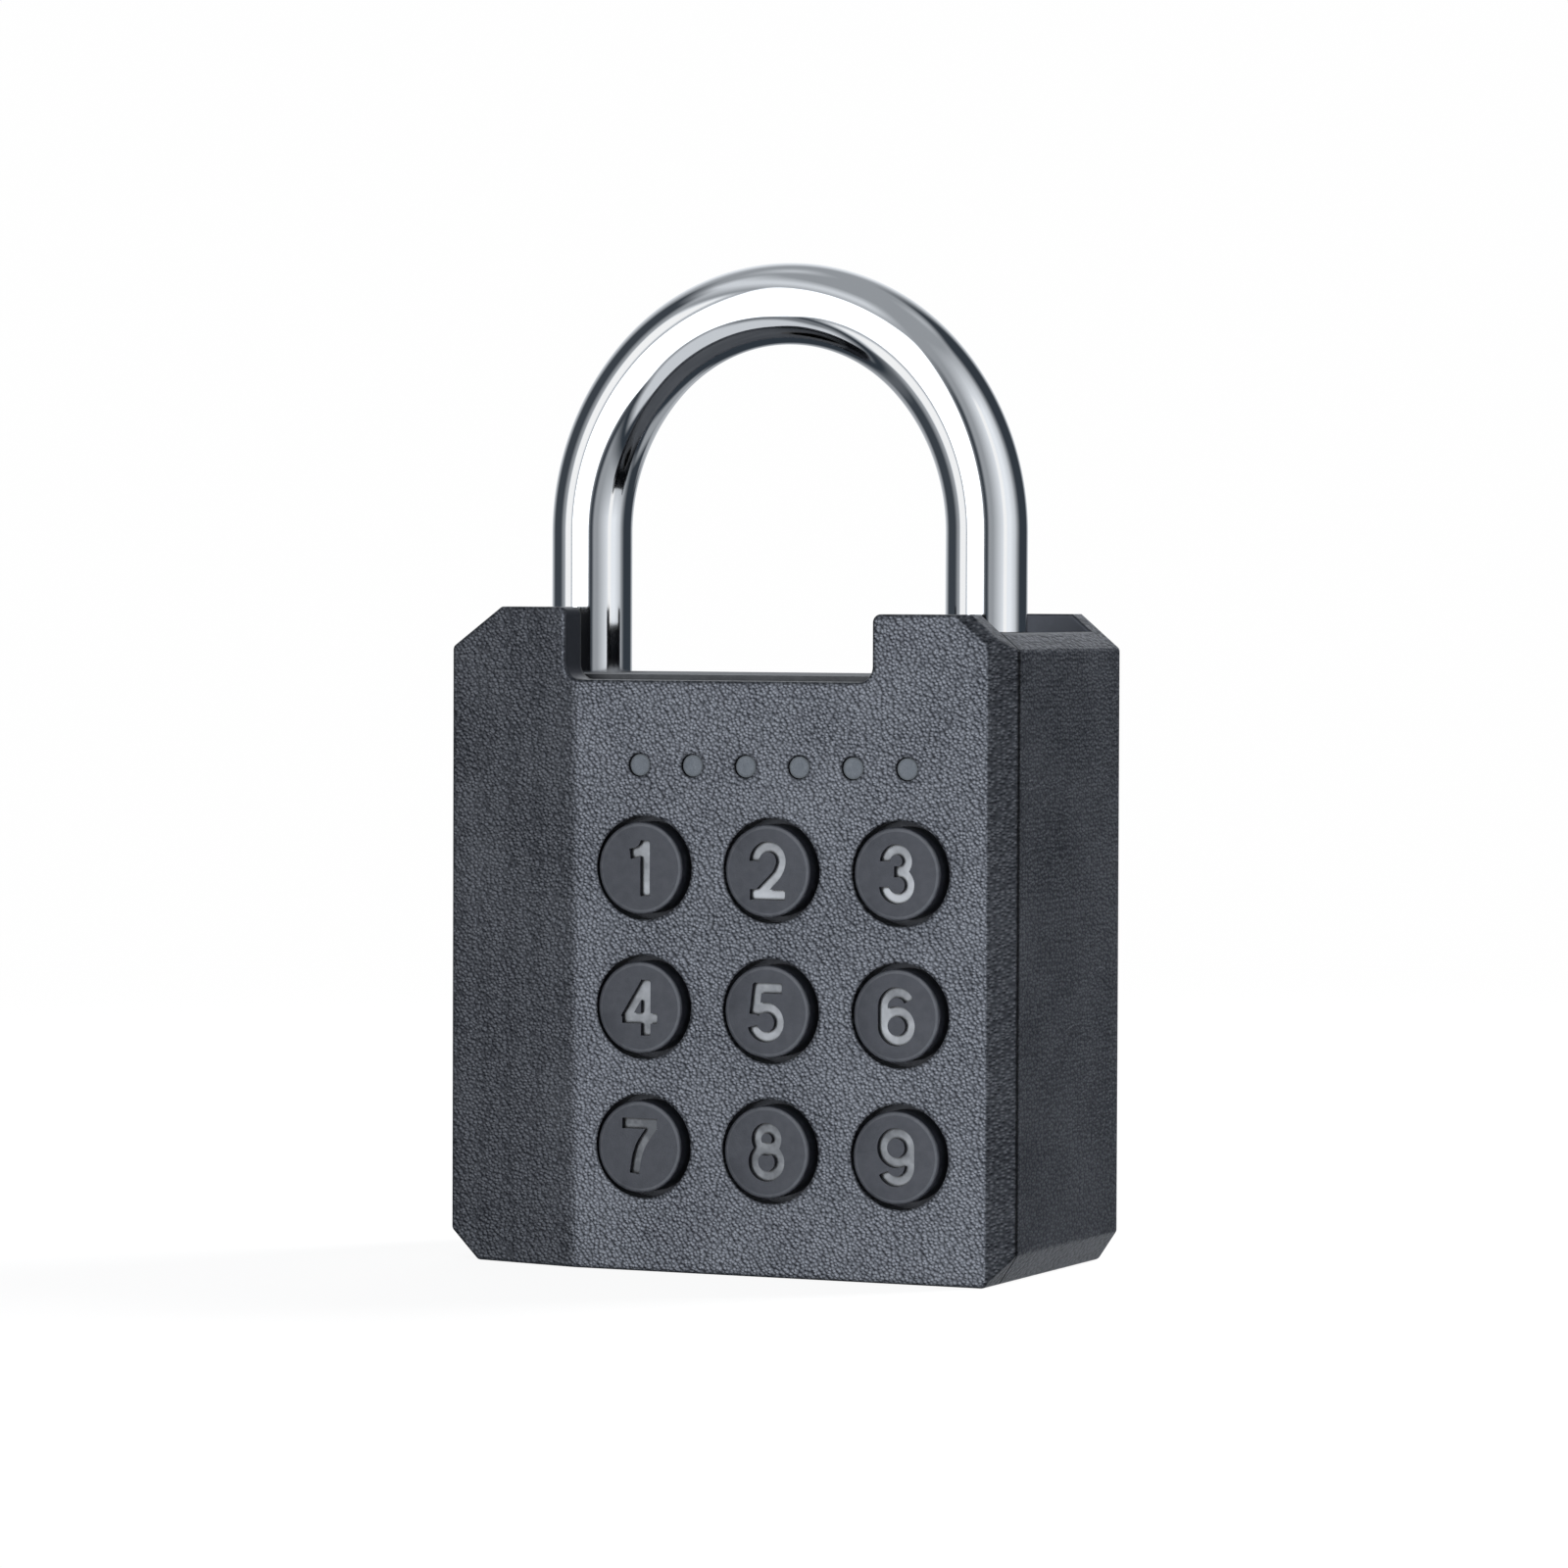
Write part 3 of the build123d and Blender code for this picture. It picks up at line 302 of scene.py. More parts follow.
@dataclass(frozen=True)
class PebbleFinish(Finish):
    """The paint on the castings: small pebbles outside, plain inside and darker there with painted shade,
    and painted shade along the seam.

    Each pebble's crown carries a painted highlight, with painted shade on one side of it.
    """

    scatter: float = 0.82
    crown_reach: float = 1.15
    crown_power: float = 3.0
    crown_middle: float = 0.3
    # Strength of the tone's pebble pattern: painted highlights and shade on the crowns, and the folds
    speckle_and_glint: float = 0.3
    # Share of painted shade beside each crown, and the offset at which it lies
    painted_hollow_shade: float = 0.5
    shade_offset: tuple[float, float, float] = (0.0, 0.0, 0.0)
    folds: float = 0.3
    fold_size: float = 0.42
    mottling: float = 0.14
    middle_tone: float = 0.47
    # Tone of inner faces, darker than the outer ones: painted shade
    inner_shade_tone: float = 0.41
    inner_reach: float = -1.5 * MM
    outer_reach: float = -0.5 * MM
    # Where the seam lies, and how the painted shadow along it falls off
    seam: float = 0.0
    seam_clean: float = 0.35 * MM
    seam_dark: float = 0.1 * MM
    seam_shade: float = 0.2

    def pattern(self, bench: Bench, ground: Ground) -> tuple[Socket, Socket]:
        """Gives domes for the height, and for the tone painted highlights on their crowns with painted shade
        beside them, both faded out on inner faces.

        Args:
            bench: The material being built.
            ground: The coordinates and noises that it is made from.

        Returns:
            The height and the tone.
        """
        outer = self.outer_faces(bench, ground.place)
        away = self.from_crown(bench, ground.mapped)
        across = bench.add("VectorMath", {"operation": "ADD"}, {0: ground.mapped, 1: self.shade_offset})
        behind = self.from_crown(bench, across.outputs["Vector"])
        wrinkles = bench.noise(ground.mapped, self.fold_size / self.grain, FOLD_LAYERS)
        folds = bench.maths("SUBTRACT", wrinkles, NOISE_MIDDLE)
        domes = bench.maths("SUBTRACT", 1.0, bench.maths("MULTIPLY", away, away))
        height = bench.maths("MULTIPLY", bench.maths("MULTIPLY_ADD", folds, self.folds, domes), outer)
        # Painted highlight on each crown, and painted shade where a crown lies at the offset
        light, dark = self.crown(bench, away), self.crown(bench, behind)
        relief = bench.maths("MULTIPLY_ADD", dark, -self.painted_hollow_shade, light)
        relief = bench.maths("SUBTRACT", relief, self.crown_middle * (1 - self.painted_hollow_shade))
        relief = bench.maths("MULTIPLY_ADD", folds, self.folds / 2, relief)
        clouds = bench.maths("SUBTRACT", ground.slow, NOISE_MIDDLE)
        mottled = bench.maths("MULTIPLY_ADD", clouds, self.mottling, self.middle_tone)
        tone = bench.maths("MULTIPLY_ADD", relief, self.speckle_and_glint, mottled)
        # Inner faces take the darker plain tone: painted shade
        painted = bench.maths("SUBTRACT", tone, self.inner_shade_tone)
        return height, bench.maths("MULTIPLY_ADD", painted, outer, self.inner_shade_tone)

    def from_crown(self, bench: Bench, place: Socket) -> Socket:
        """Gives the distance from the middle of the nearest pebble, about 1 between two of them."""
        size = {"Vector": place, "Scale": 1 / self.grain, "Randomness": self.scatter}
        return bench.add("TexVoronoi", {"feature": "F1"}, size).outputs["Distance"]

    def crown(self, bench: Bench, away: Socket) -> Socket:
        """Gives the painted highlight of a crown, which falls off steeply with the distance from its middle.
        """
        near = bench.maths("MAXIMUM", bench.maths("SUBTRACT", self.crown_reach, away), 0.0)
        return bench.maths("POWER", near, self.crown_power)

    def outer_faces(self, bench: Bench, place: Socket) -> Socket:
        """Tells outer faces from inner ones.

        Args:
            bench: The material being built.
            place: Coordinates on the padlock.

        Returns:
            1 on faces that look away from the padlock's upright axis, and 0 on those that look at it.
        """
        flat = bench.add("VectorMath", {"operation": "MULTIPLY"}, {0: place, 1: (1.0, 1.0, 0.0)})
        normal = bench.add("NewGeometry").outputs["True Normal"]
        reach = bench.add("VectorMath", {"operation": "DOT_PRODUCT"}, {0: flat.outputs["Vector"], 1: normal})
        value = reach.outputs["Value"]
        limits = {"Value": value, "From Min": self.inner_reach, "From Max": self.outer_reach}
        return bench.add("MapRange", inputs=limits).outputs["Result"]

    def shade(self, bench: Bench, place: Socket, colour: Socket) -> Socket:
        """Darkens the paint along the seam between the two castings: painted shadow of the groove there.

        Args:
            bench: The material being built.
            place: Coordinates on the padlock.
            colour: The paint's colour.

        Returns:
            The shaded colour.
        """
        back = bench.add("SeparateXYZ", inputs={"Vector": place}).outputs["Y"]
        away = bench.maths("ABSOLUTE", bench.maths("SUBTRACT", back, self.seam))
        return bench.darken(colour, away, self.seam_clean, self.seam_dark, self.seam_shade)


@dataclass(frozen=True)
class DigitFinish(Finish):
    """The silver paint in the digits, with a painted reflection that is brighter on the upper right keys and
    low on each key.
    """

    low: float = 0.0
    high: float = 1.0
    slant: float = 0.4
    low_tone: float = 0.35
    high_tone: float = 0.62
    lowest: float = 0.0
    pitch: float = 1.0
    fall: float = 0.8
    dull_tone: float = 0.3
    wear: float = 0.4
    corner_reach: float = 0.4 * MM
    corner_samples: int = 8
    corner_clean: float = 0.84
    corner_dark: float = 0.64
    corner_shade: float = 0.08

    def pattern(self, bench: Bench, ground: Ground) -> tuple[Socket, Socket]:
        """Gives the grain for the height, and a tone with a painted reflection that rises over the keypad
        and down each key.

        Args:
            bench: The material being built.
            ground: The coordinates and noises that it is made from.

        Returns:
            The height and the tone.
        """
        # Painted reflection: brighter towards the upper right of the keypad and towards the bottom of each
        # key
        way = (self.slant, 0.0, 1.0)
        aslant = bench.add("VectorMath", {"operation": "DOT_PRODUCT"}, {0: ground.place, 1: way})
        limits = {
            "Value": aslant.outputs["Value"], "From Min": self.low, "From Max": self.high,
            "To Min": self.low_tone, "To Max": self.high_tone,
        }
        painted_sheen = bench.add("MapRange", inputs=limits).outputs["Result"]
        height = bench.add("SeparateXYZ", inputs={"Vector": ground.place}).outputs["Z"]
        above = bench.maths("SUBTRACT", height, self.lowest - self.pitch / 2)
        row = bench.maths("WRAP", above, self.pitch, 0.0)
        down = bench.maths("MULTIPLY_ADD", row, -2 * self.fall / self.pitch, self.fall)
        lit = bench.maths("MULTIPLY_ADD", down, bench.maths("SUBTRACT", painted_sheen, self.dull_tone), painted_sheen)
        clouds = bench.maths("SUBTRACT", ground.slow, NOISE_MIDDLE)
        return ground.fine, bench.maths("MULTIPLY_ADD", clouds, self.wear, lit)

    def shade(self, bench: Bench, place: Socket, colour: Socket) -> Socket:
        """Darkens the paint where it meets the walls of the groove: painted shade in the corners.

        Args:
            bench: The material being built.
            place: Coordinates on the padlock.
            colour: The paint's colour.

        Returns:
            The shaded colour.
        """
        kind = {"samples": self.corner_samples, "only_local": True}
        open_share = bench.add("AmbientOcclusion", kind, {"Distance": self.corner_reach}).outputs["AO"]
        return bench.darken(colour, open_share, self.corner_clean, self.corner_dark, self.corner_shade)


@dataclass(frozen=True)
class WindowFinish(Finish):
    """The frosted windows of the light guide, each with a ring of painted shade round it."""

    middle: float = 0.0
    height_line: float = 0.0
    pitch: float = 1.0
    clear_radius: float = 0.0
    shoulder_radius: float = 0.0
    shoulder_shade: float = 0.12

    def shade(self, bench: Bench, place: Socket, colour: Socket) -> Socket:
        """Paints shade in a ring round each window.

        Args:
            bench: The material being built.
            place: Coordinates on the padlock.
            colour: The guide's colour.

        Returns:
            The shaded colour.
        """
        axes = bench.add("SeparateXYZ", inputs={"Vector": place}).outputs
        column = bench.maths("WRAP", bench.maths("SUBTRACT", axes["X"], self.middle), self.pitch, 0.0)
        across = bench.maths("SUBTRACT", column, self.pitch / 2)
        up = bench.maths("SUBTRACT", axes["Z"], self.height_line)
        squares = bench.maths("ADD", bench.maths("POWER", across, 2.0), bench.maths("POWER", up, 2.0))
        away = bench.maths("SQRT", squares)
        return bench.darken(colour, away, self.clear_radius, self.shoulder_radius, self.shoulder_shade)


# Its tone carries painted highlights and shade on the pebbles, and painted shade on inner faces and along
# the seam
CASTING = PebbleFinish(
    "casting_finish", (0.006, 0.0075, 0.0115), (0.105, 0.111, 0.125), Texture.CAST,
    roughness=0.31, roughness_range=0.03, metallic=0.65, specular=0.35, grain=0.31 * MM,
    depth=0.06 * MM, mottle=9 * MM, edge=0.5 * MM, stretch=(0.78, 0.5, 1.0), turn=(0.0, 0.5, 0.0),
    speckle_and_glint=0.33, painted_hollow_shade=0.6, shade_offset=(0.07 * MM, -0.04 * MM, 0.055 * MM), folds=0.2, seam=-10.95 * MM,
)
CHASSIS = Finish(
    "chassis_finish", (0.022, 0.024, 0.028), (0.03, 0.032, 0.036), Texture.CAST,
    roughness=0.5, grain=0.4 * MM, depth=0.02 * MM,
)
CHROME = Finish(
    "shackle_chrome", (0.86, 0.87, 0.88), (0.88, 0.89, 0.9), Texture.MIRROR,
    roughness=0.06, roughness_range=0.01, metallic=1.0, grain=3 * MM, depth=0.004 * MM,
)
CAP = Finish(
    "key_caps", (0.013, 0.0145, 0.019), (0.019, 0.0205, 0.026), Texture.MOULDED,
    roughness=0.37, specular=0.3, tint=(0.92, 0.94, 1.0),
    grain=0.16 * MM, depth=0.014 * MM, mottle=0.9 * MM,
)
# Lighter colour for the sloped rim of each cap: a painted highlight
CAP_RIM_HIGHLIGHT = Finish(
    "key_rim_highlight", (0.022, 0.024, 0.029), (0.034, 0.036, 0.042), Texture.MOULDED,
    roughness=0.33, specular=0.36, tint=(0.92, 0.94, 1.0),
    grain=0.16 * MM, depth=0.01 * MM, mottle=0.9 * MM,
)
# Its tone carries a painted reflection, brighter on the upper right keys and low on each key
DIGIT_PAINT = DigitFinish(
    "digit_paint", (0.04, 0.043, 0.048), (0.25, 0.258, 0.27), Texture.MOULDED,
    roughness=0.38, metallic=0.45, grain=0.2 * MM, depth=0.01 * MM, mottle=2 * MM,
    low=6 * MM, high=50 * MM, lowest=12.15 * MM, pitch=13.5 * MM,
)
WINDOW = WindowFinish(
    "guide_clear", (0.03, 0.034, 0.042), (0.05, 0.054, 0.062), Texture.MOULDED,
    roughness=0.3, tint=(0.85, 0.93, 1.0), grain=0.25 * MM, depth=0.012 * MM, mottle=0.8 * MM,
    middle=5.9 * MM, height_line=49.1 * MM, pitch=5.63 * MM,
    clear_radius=0.84 * MM, shoulder_radius=1.0 * MM,
)
RUBBER = Finish(
    "rubber", (0.018, 0.018, 0.019), (0.026, 0.026, 0.027), Texture.CAST,
    roughness=0.62, specular=0.35, grain=0.25 * MM, depth=0.01 * MM,
)
STEEL = Finish(
    "steel", (0.42, 0.42, 0.41), (0.5, 0.5, 0.49), Texture.BRUSHED,
    roughness=0.32, metallic=1.0, grain=0.6 * MM, depth=0.004 * MM,
)
CONTACT = Finish(
    "contact_metal", (0.62, 0.6, 0.54), (0.7, 0.68, 0.62), Texture.BRUSHED,
    roughness=0.28, metallic=1.0, grain=0.5 * MM, depth=0.003 * MM,
)
BRASS = Finish(
    "pinion_brass", (0.62, 0.44, 0.16), (0.7, 0.51, 0.2), Texture.BRUSHED,
    roughness=0.3, metallic=1.0, grain=0.4 * MM, depth=0.003 * MM,
)
BOARD = Finish(
    "board", (0.012, 0.075, 0.035), (0.016, 0.095, 0.045), Texture.TRACES,
    roughness=0.35, coat=0.3, grain=0.6 * MM, depth=0.02 * MM,
)
SWITCH = Finish(
    "switch_body", (0.02, 0.02, 0.022), (0.03, 0.03, 0.032), Texture.MOULDED,
    roughness=0.45, grain=0.2 * MM, depth=0.005 * MM,
)
PLUNGER = Finish(
    "switch_plunger", (0.55, 0.53, 0.48), (0.62, 0.6, 0.55), Texture.MOULDED,
    roughness=0.4, grain=0.2 * MM, depth=0.004 * MM,
)
DIODE = Finish(
    "led_white", (0.75, 0.73, 0.66), (0.8, 0.78, 0.72), Texture.MOULDED,
    roughness=0.3, grain=0.2 * MM, depth=0.003 * MM,
)
SLEEVE = Finish(
    "cell_sleeve", (0.03, 0.09, 0.26), (0.04, 0.11, 0.3), Texture.MOULDED,
    roughness=0.3, coat=0.5, grain=2.5 * MM, depth=0.03 * MM,
)
FINISHES = (
    CASTING, CHASSIS, CHROME, CAP, WINDOW, RUBBER, STEEL, CONTACT, BRASS, BOARD, SWITCH, PLUNGER, DIODE,
    SLEEVE, DIGIT_PAINT, CAP_RIM_HIGHLIGHT,
)


class Paintbox:
    """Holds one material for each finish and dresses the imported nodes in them."""

    def __init__(self) -> None:
        """Builds the materials."""
        self.materials = {finish.name: finish.material() for finish in FINISHES}

    def get(self, finish: Finish) -> bpy.types.Material:
        """Gives the material of a finish."""
        return self.materials[finish.name]

    def dress_nodes(self) -> None:
        """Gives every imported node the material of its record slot."""
        for part in frame["record"]["subparts"]:
            node = frame["nodes"][part["node"]]
            node.data.materials.clear()
            node.data.materials.append(self.materials[part["material_slot"]])
            log.info("node %s in %s", part["node"], part["material_slot"])


def finished_piece(
    name: str, mesh: bmesh.types.BMesh, finishes: Iterable[bpy.types.Material] = ()
) -> bpy.types.Object:
    """Turns a bmesh into an object with smooth shading and sharp corners.

    Args:
        name: The piece's name.
        mesh: Its shape, freed here.
        finishes: Its materials, in slot order.

    Returns:
        The new object, linked to the scene.
    """
    bmesh.ops.remove_doubles(mesh, verts=mesh.verts, dist=MERGE_REACH)
    bmesh.ops.recalc_face_normals(mesh, faces=mesh.faces)
    for face in mesh.faces:
        face.smooth = True
    data = bpy.data.meshes.new(name)
    mesh.to_mesh(data)
    mesh.free()
    for finish in finishes:
        data.materials.append(finish)
    data.set_sharp_from_angle(angle=math.radians(SHARP_ANGLE))
    piece = bpy.data.objects.new(name, data)
    bpy.context.scene.collection.objects.link(piece)
    return piece


def cut_from(piece: bpy.types.Object, cutter: bpy.types.Object) -> None:
    """Cuts one object out of another for good, and removes the cutter.

    Args:
        piece: The object that is cut.
        cutter: The object that is taken out of it.
    """
    modifier = piece.modifiers.new("cut", "BOOLEAN")
    modifier.operation = "DIFFERENCE"
    modifier.solver = "EXACT"
    modifier.object = cutter
    graph = bpy.context.evaluated_depsgraph_get()
    cut = bpy.data.meshes.new_from_object(piece.evaluated_get(graph))
    piece.modifiers.clear()
    piece.data = cut
    bpy.data.objects.remove(cutter)


@dataclass(frozen=True)
class StrokePath:
    """The way that a cutter runs for one stroke of a digit, in millimetres and degrees.

    Each move is a length, or a radius with the angle that the heading turns by, counted to the left.
    """

    x: float
    z: float
    heading: float
    moves: tuple[tuple[float, float, float], ...]


DIGIT_PATHS = {
    1: (
        StrokePath(0.5, -2.7, 90, ((5.4, 0, 0),)),
        StrokePath(-1.1, 1.38, 8, ((0.45, 0, 0), (0, 1.35, 62), (0.25, 0, 0))),
    ),
    2: (
        StrokePath(-1.4, 0.95, 90, ((0, 1.4, -192), (0, 2.6, -34), (1.75, 0, 0), (0, 1.0, 46))),
        StrokePath(-1.85, -2.27, 0, ((3.7, 0, 0),)),
    ),
    3: (
        StrokePath(-1.25, 1.2, 90, ((0, 1.15, -180), (0, 0.95, -90), (0.4, 0, 0))),
        StrokePath(-0.3, 0.22, 0, ((0.35, 0, 0), (0, 1.25, -90), (0, 1.33, -172))),
    ),
    4: (
        StrokePath(0.62, -2.7, 90, ((5.4, 0, 0),)),
        StrokePath(-1.9, -1.03, 0, ((3.75, 0, 0),)),
        StrokePath(-1.6, -1.1, 58.5, ((4.2, 0, 0),)),
    ),
    5: (
        StrokePath(-1.4, 2.27, 0, ((2.95, 0, 0),)),
        StrokePath(-1.0, 2.6, -97, ((2.9, 0, 0),)),
        StrokePath(-1.3, -0.1, 50, ((0, 1.45, -120), (0, 1.42, -184),)),
    ),
    6: (
        StrokePath(1.41, -0.95, 90, ((0, 1.41, 180), (0, 1.41, 180))),
        StrokePath(-1.41, -0.95, 90, ((1.8, 0, 0), (0, 1.41, -155))),
    ),
    7: (
        StrokePath(-1.85, 2.27, 0, ((3.7, 0, 0),)),
        StrokePath(1.45, 2.0, -128, ((1.3, 0, 0), (0, 5.0, 30), (1.2, 0, 0))),
    ),
    8: (
        StrokePath(1.07, 1.26, 90, ((0, 1.07, 180), (0, 1.07, 180))),
        StrokePath(1.38, -0.93, 90, ((0, 1.38, 180), (0, 1.38, 180))),
    ),
    9: (
        StrokePath(1.41, 0.95, 90, ((0, 1.41, 180), (0, 1.41, 180))),
        StrokePath(1.41, 0.95, -90, ((1.8, 0, 0), (0, 1.41, -155))),
    ),
}


@dataclass
class Keypad:
    """The nine round keys, each a turned cap with a digit sunk into its face."""

    paints: Paintbox
    cap_radius: float = 4.45 * MM
    cap_edge: float = 0.16 * MM
    rim_radius: float = 4.05 * MM
    rim_fall: float = 0.07 * MM
    flange_radius: float = 5.7 * MM
    flange_depth: float = 0.8 * MM
    digit_depth: float = 0.45 * MM
    stroke: float = 1.02 * MM
    steps: int = 96
    edge_steps: int = 4
    groove_step: float = 7.0
    fewest_steps: int = 3
    sharp_angle: float = 32.0
    turned_merge: float = 0.001 * MM
    ring_merge: float = 0.005 * MM
    floor_slack: float = 0.02 * MM
    floor_facing: float = -0.9
    rim_facing: float = 0.5
    digit_slot: int = 1
    rim_highlight_slot: int = 2

    def build(self) -> list[bpy.types.Object]:
        """Builds all the keys and puts them on their bodies.

        Returns:
            The nine pieces.
        """
        pieces = []
        for number, paths in DIGIT_PATHS.items():
            name = f"key_{number}"
            piece = self.cap(name)
            for path in paths:
                cut_from(piece, self.groove(name, path))
            self.paint_digit(piece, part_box(name)[0].y)
            piece.data.set_sharp_from_angle(angle=math.radians(self.sharp_angle))
            piece.modifiers.new("even shading", "WEIGHTED_NORMAL").keep_sharp = True
            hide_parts(name)
            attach(piece, name)
            pieces.append(piece)
        return pieces

    def cap(self, name: str) -> bpy.types.Object:
        """Turns one cap with its flange.

        Args:
            name: The key's node.

        Returns:
            The cap as an object.
        """
        low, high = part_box(name)
        middle = (low + high) / 2
        flange = high.y - self.flange_depth
        shoulder = low.y + self.rim_fall
        profile = (
            (0.0, high.y), (self.flange_radius, high.y), (self.flange_radius, flange),
            (self.cap_radius, flange), (self.cap_radius, shoulder), (self.rim_radius, low.y),
            (0.0, low.y),
        )
        shape = bmesh.new()
        points = [shape.verts.new((middle.x + radius, y, middle.z)) for radius, y in profile]
        edges = [shape.edges.new(pair) for pair in zip(points, points[1:])]
        bmesh.ops.spin(
            shape, geom=points + edges, cent=(middle.x, 0.0, middle.z), axis=(0.0, 1.0, 0.0),
            angle=FULL_TURN, steps=self.steps, use_merge=True,
        )
        bmesh.ops.remove_doubles(shape, verts=shape.verts, dist=self.turned_merge)

        def radius_of(spot: Vector) -> float:
            """Gives the distance of a point from the middle of the cap."""
            return math.hypot(spot.x - middle.x, spot.z - middle.z)

        rim = [
            edge for edge in shape.edges
            if all(
                abs(vert.co.y - shoulder) < NEAR and abs(radius_of(vert.co) - self.cap_radius) < NEAR
                for vert in edge.verts
            )
        ]
        bmesh.ops.bevel(
            shape, geom=rim, offset=self.cap_edge, affect="EDGES", segments=self.edge_steps, profile=0.5,
            material=-1,
        )
        # Front faces of the sloped rim take the lighter rim colour: a painted highlight round each cap's
        # edge
        for face in shape.faces:
            spot = face.calc_center_median()
            fronts = abs(face.normal.y) > self.rim_facing and spot.y < low.y + 2 * self.rim_fall
            if fronts and radius_of(spot) > self.rim_radius:
                face.material_index = self.rim_highlight_slot
        materials = (self.paints.get(CAP), self.paints.get(DIGIT_PAINT), self.paints.get(CAP_RIM_HIGHLIGHT))
        return finished_piece(name + "_cap", shape, materials)

    def groove(self, name: str, path: StrokePath) -> bpy.types.Object:
        """Makes the solid that one stroke of a digit cuts from a cap.

        Args:
            name: The key's node.
            path: The way that the cutter runs.

        Returns:
            The solid, standing half in and half out of the cap's face.
        """
        low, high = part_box(name)
        middle = (low + high) / 2
        heading = math.radians(path.heading)
        start = Vector((path.x * MM, 0.0, path.z * MM))
        spot = start
        shape = bmesh.new()
        square = bmesh.ops.create_grid(shape, x_segments=1, y_segments=1, size=0.5)["verts"]
        size = Matrix.Diagonal((self.stroke, 2 * self.digit_depth, 1.0, 1.0))
        stand = Matrix.Rotation(-heading, 4, "Y") @ Matrix.Rotation(math.pi / 2, 4, "Y")
        upright = Matrix.Translation(spot) @ stand
        bmesh.ops.transform(shape, matrix=upright @ size, verts=square)
        front = list(shape.faces)
        first = front[0]
        for length, radius, angle in path.moves:
            ahead = Vector((math.cos(heading), 0.0, math.sin(heading)))
            if radius:
                left = Vector((-math.sin(heading), 0.0, math.cos(heading)))
                centre = spot + left * math.copysign(1.0, angle) * radius * MM
                turn = math.radians(angle)
                spun = bmesh.ops.spin(
                    shape, geom=front, cent=centre, axis=(0.0, -1.0, 0.0), angle=turn,
                    steps=max(self.fewest_steps, int(abs(angle) / self.groove_step)),
                )
                spot = centre + Matrix.Rotation(-turn, 3, "Y") @ (spot - centre)
                heading += turn
                grown = spun["geom_last"]
            else:
                grown = bmesh.ops.extrude_face_region(shape, geom=front, use_keep_orig=True)["geom"]
                verts = [item for item in grown if isinstance(item, bmesh.types.BMVert)]
                bmesh.ops.translate(shape, verts=verts, vec=ahead * length * MM)
                spot = spot + ahead * length * MM
            if front[0] is not first and front[0].is_valid:
                bmesh.ops.delete(shape, geom=front, context="FACES_ONLY")
            front = [item for item in grown if isinstance(item, bmesh.types.BMFace)]
        if (spot - start).length < NEAR:
            bmesh.ops.delete(shape, geom=[first, *front], context="FACES_ONLY")
            bmesh.ops.remove_doubles(shape, verts=shape.verts, dist=self.ring_merge)
        bmesh.ops.translate(shape, verts=shape.verts, vec=(middle.x, low.y, middle.z))
        return finished_piece(name + "_groove", shape)

    def paint_digit(self, piece: bpy.types.Object, face_y: float) -> None:
        """Paints the sunk floor of a digit.

        Args:
            piece: The key.
            face_y: Where the front of its cap is.
        """
        floor = face_y + self.digit_depth
        for face in piece.data.polygons:
            if face.normal.y < self.floor_facing and abs(face.center.y - floor) < self.floor_slack:
                face.material_index = self.digit_slot


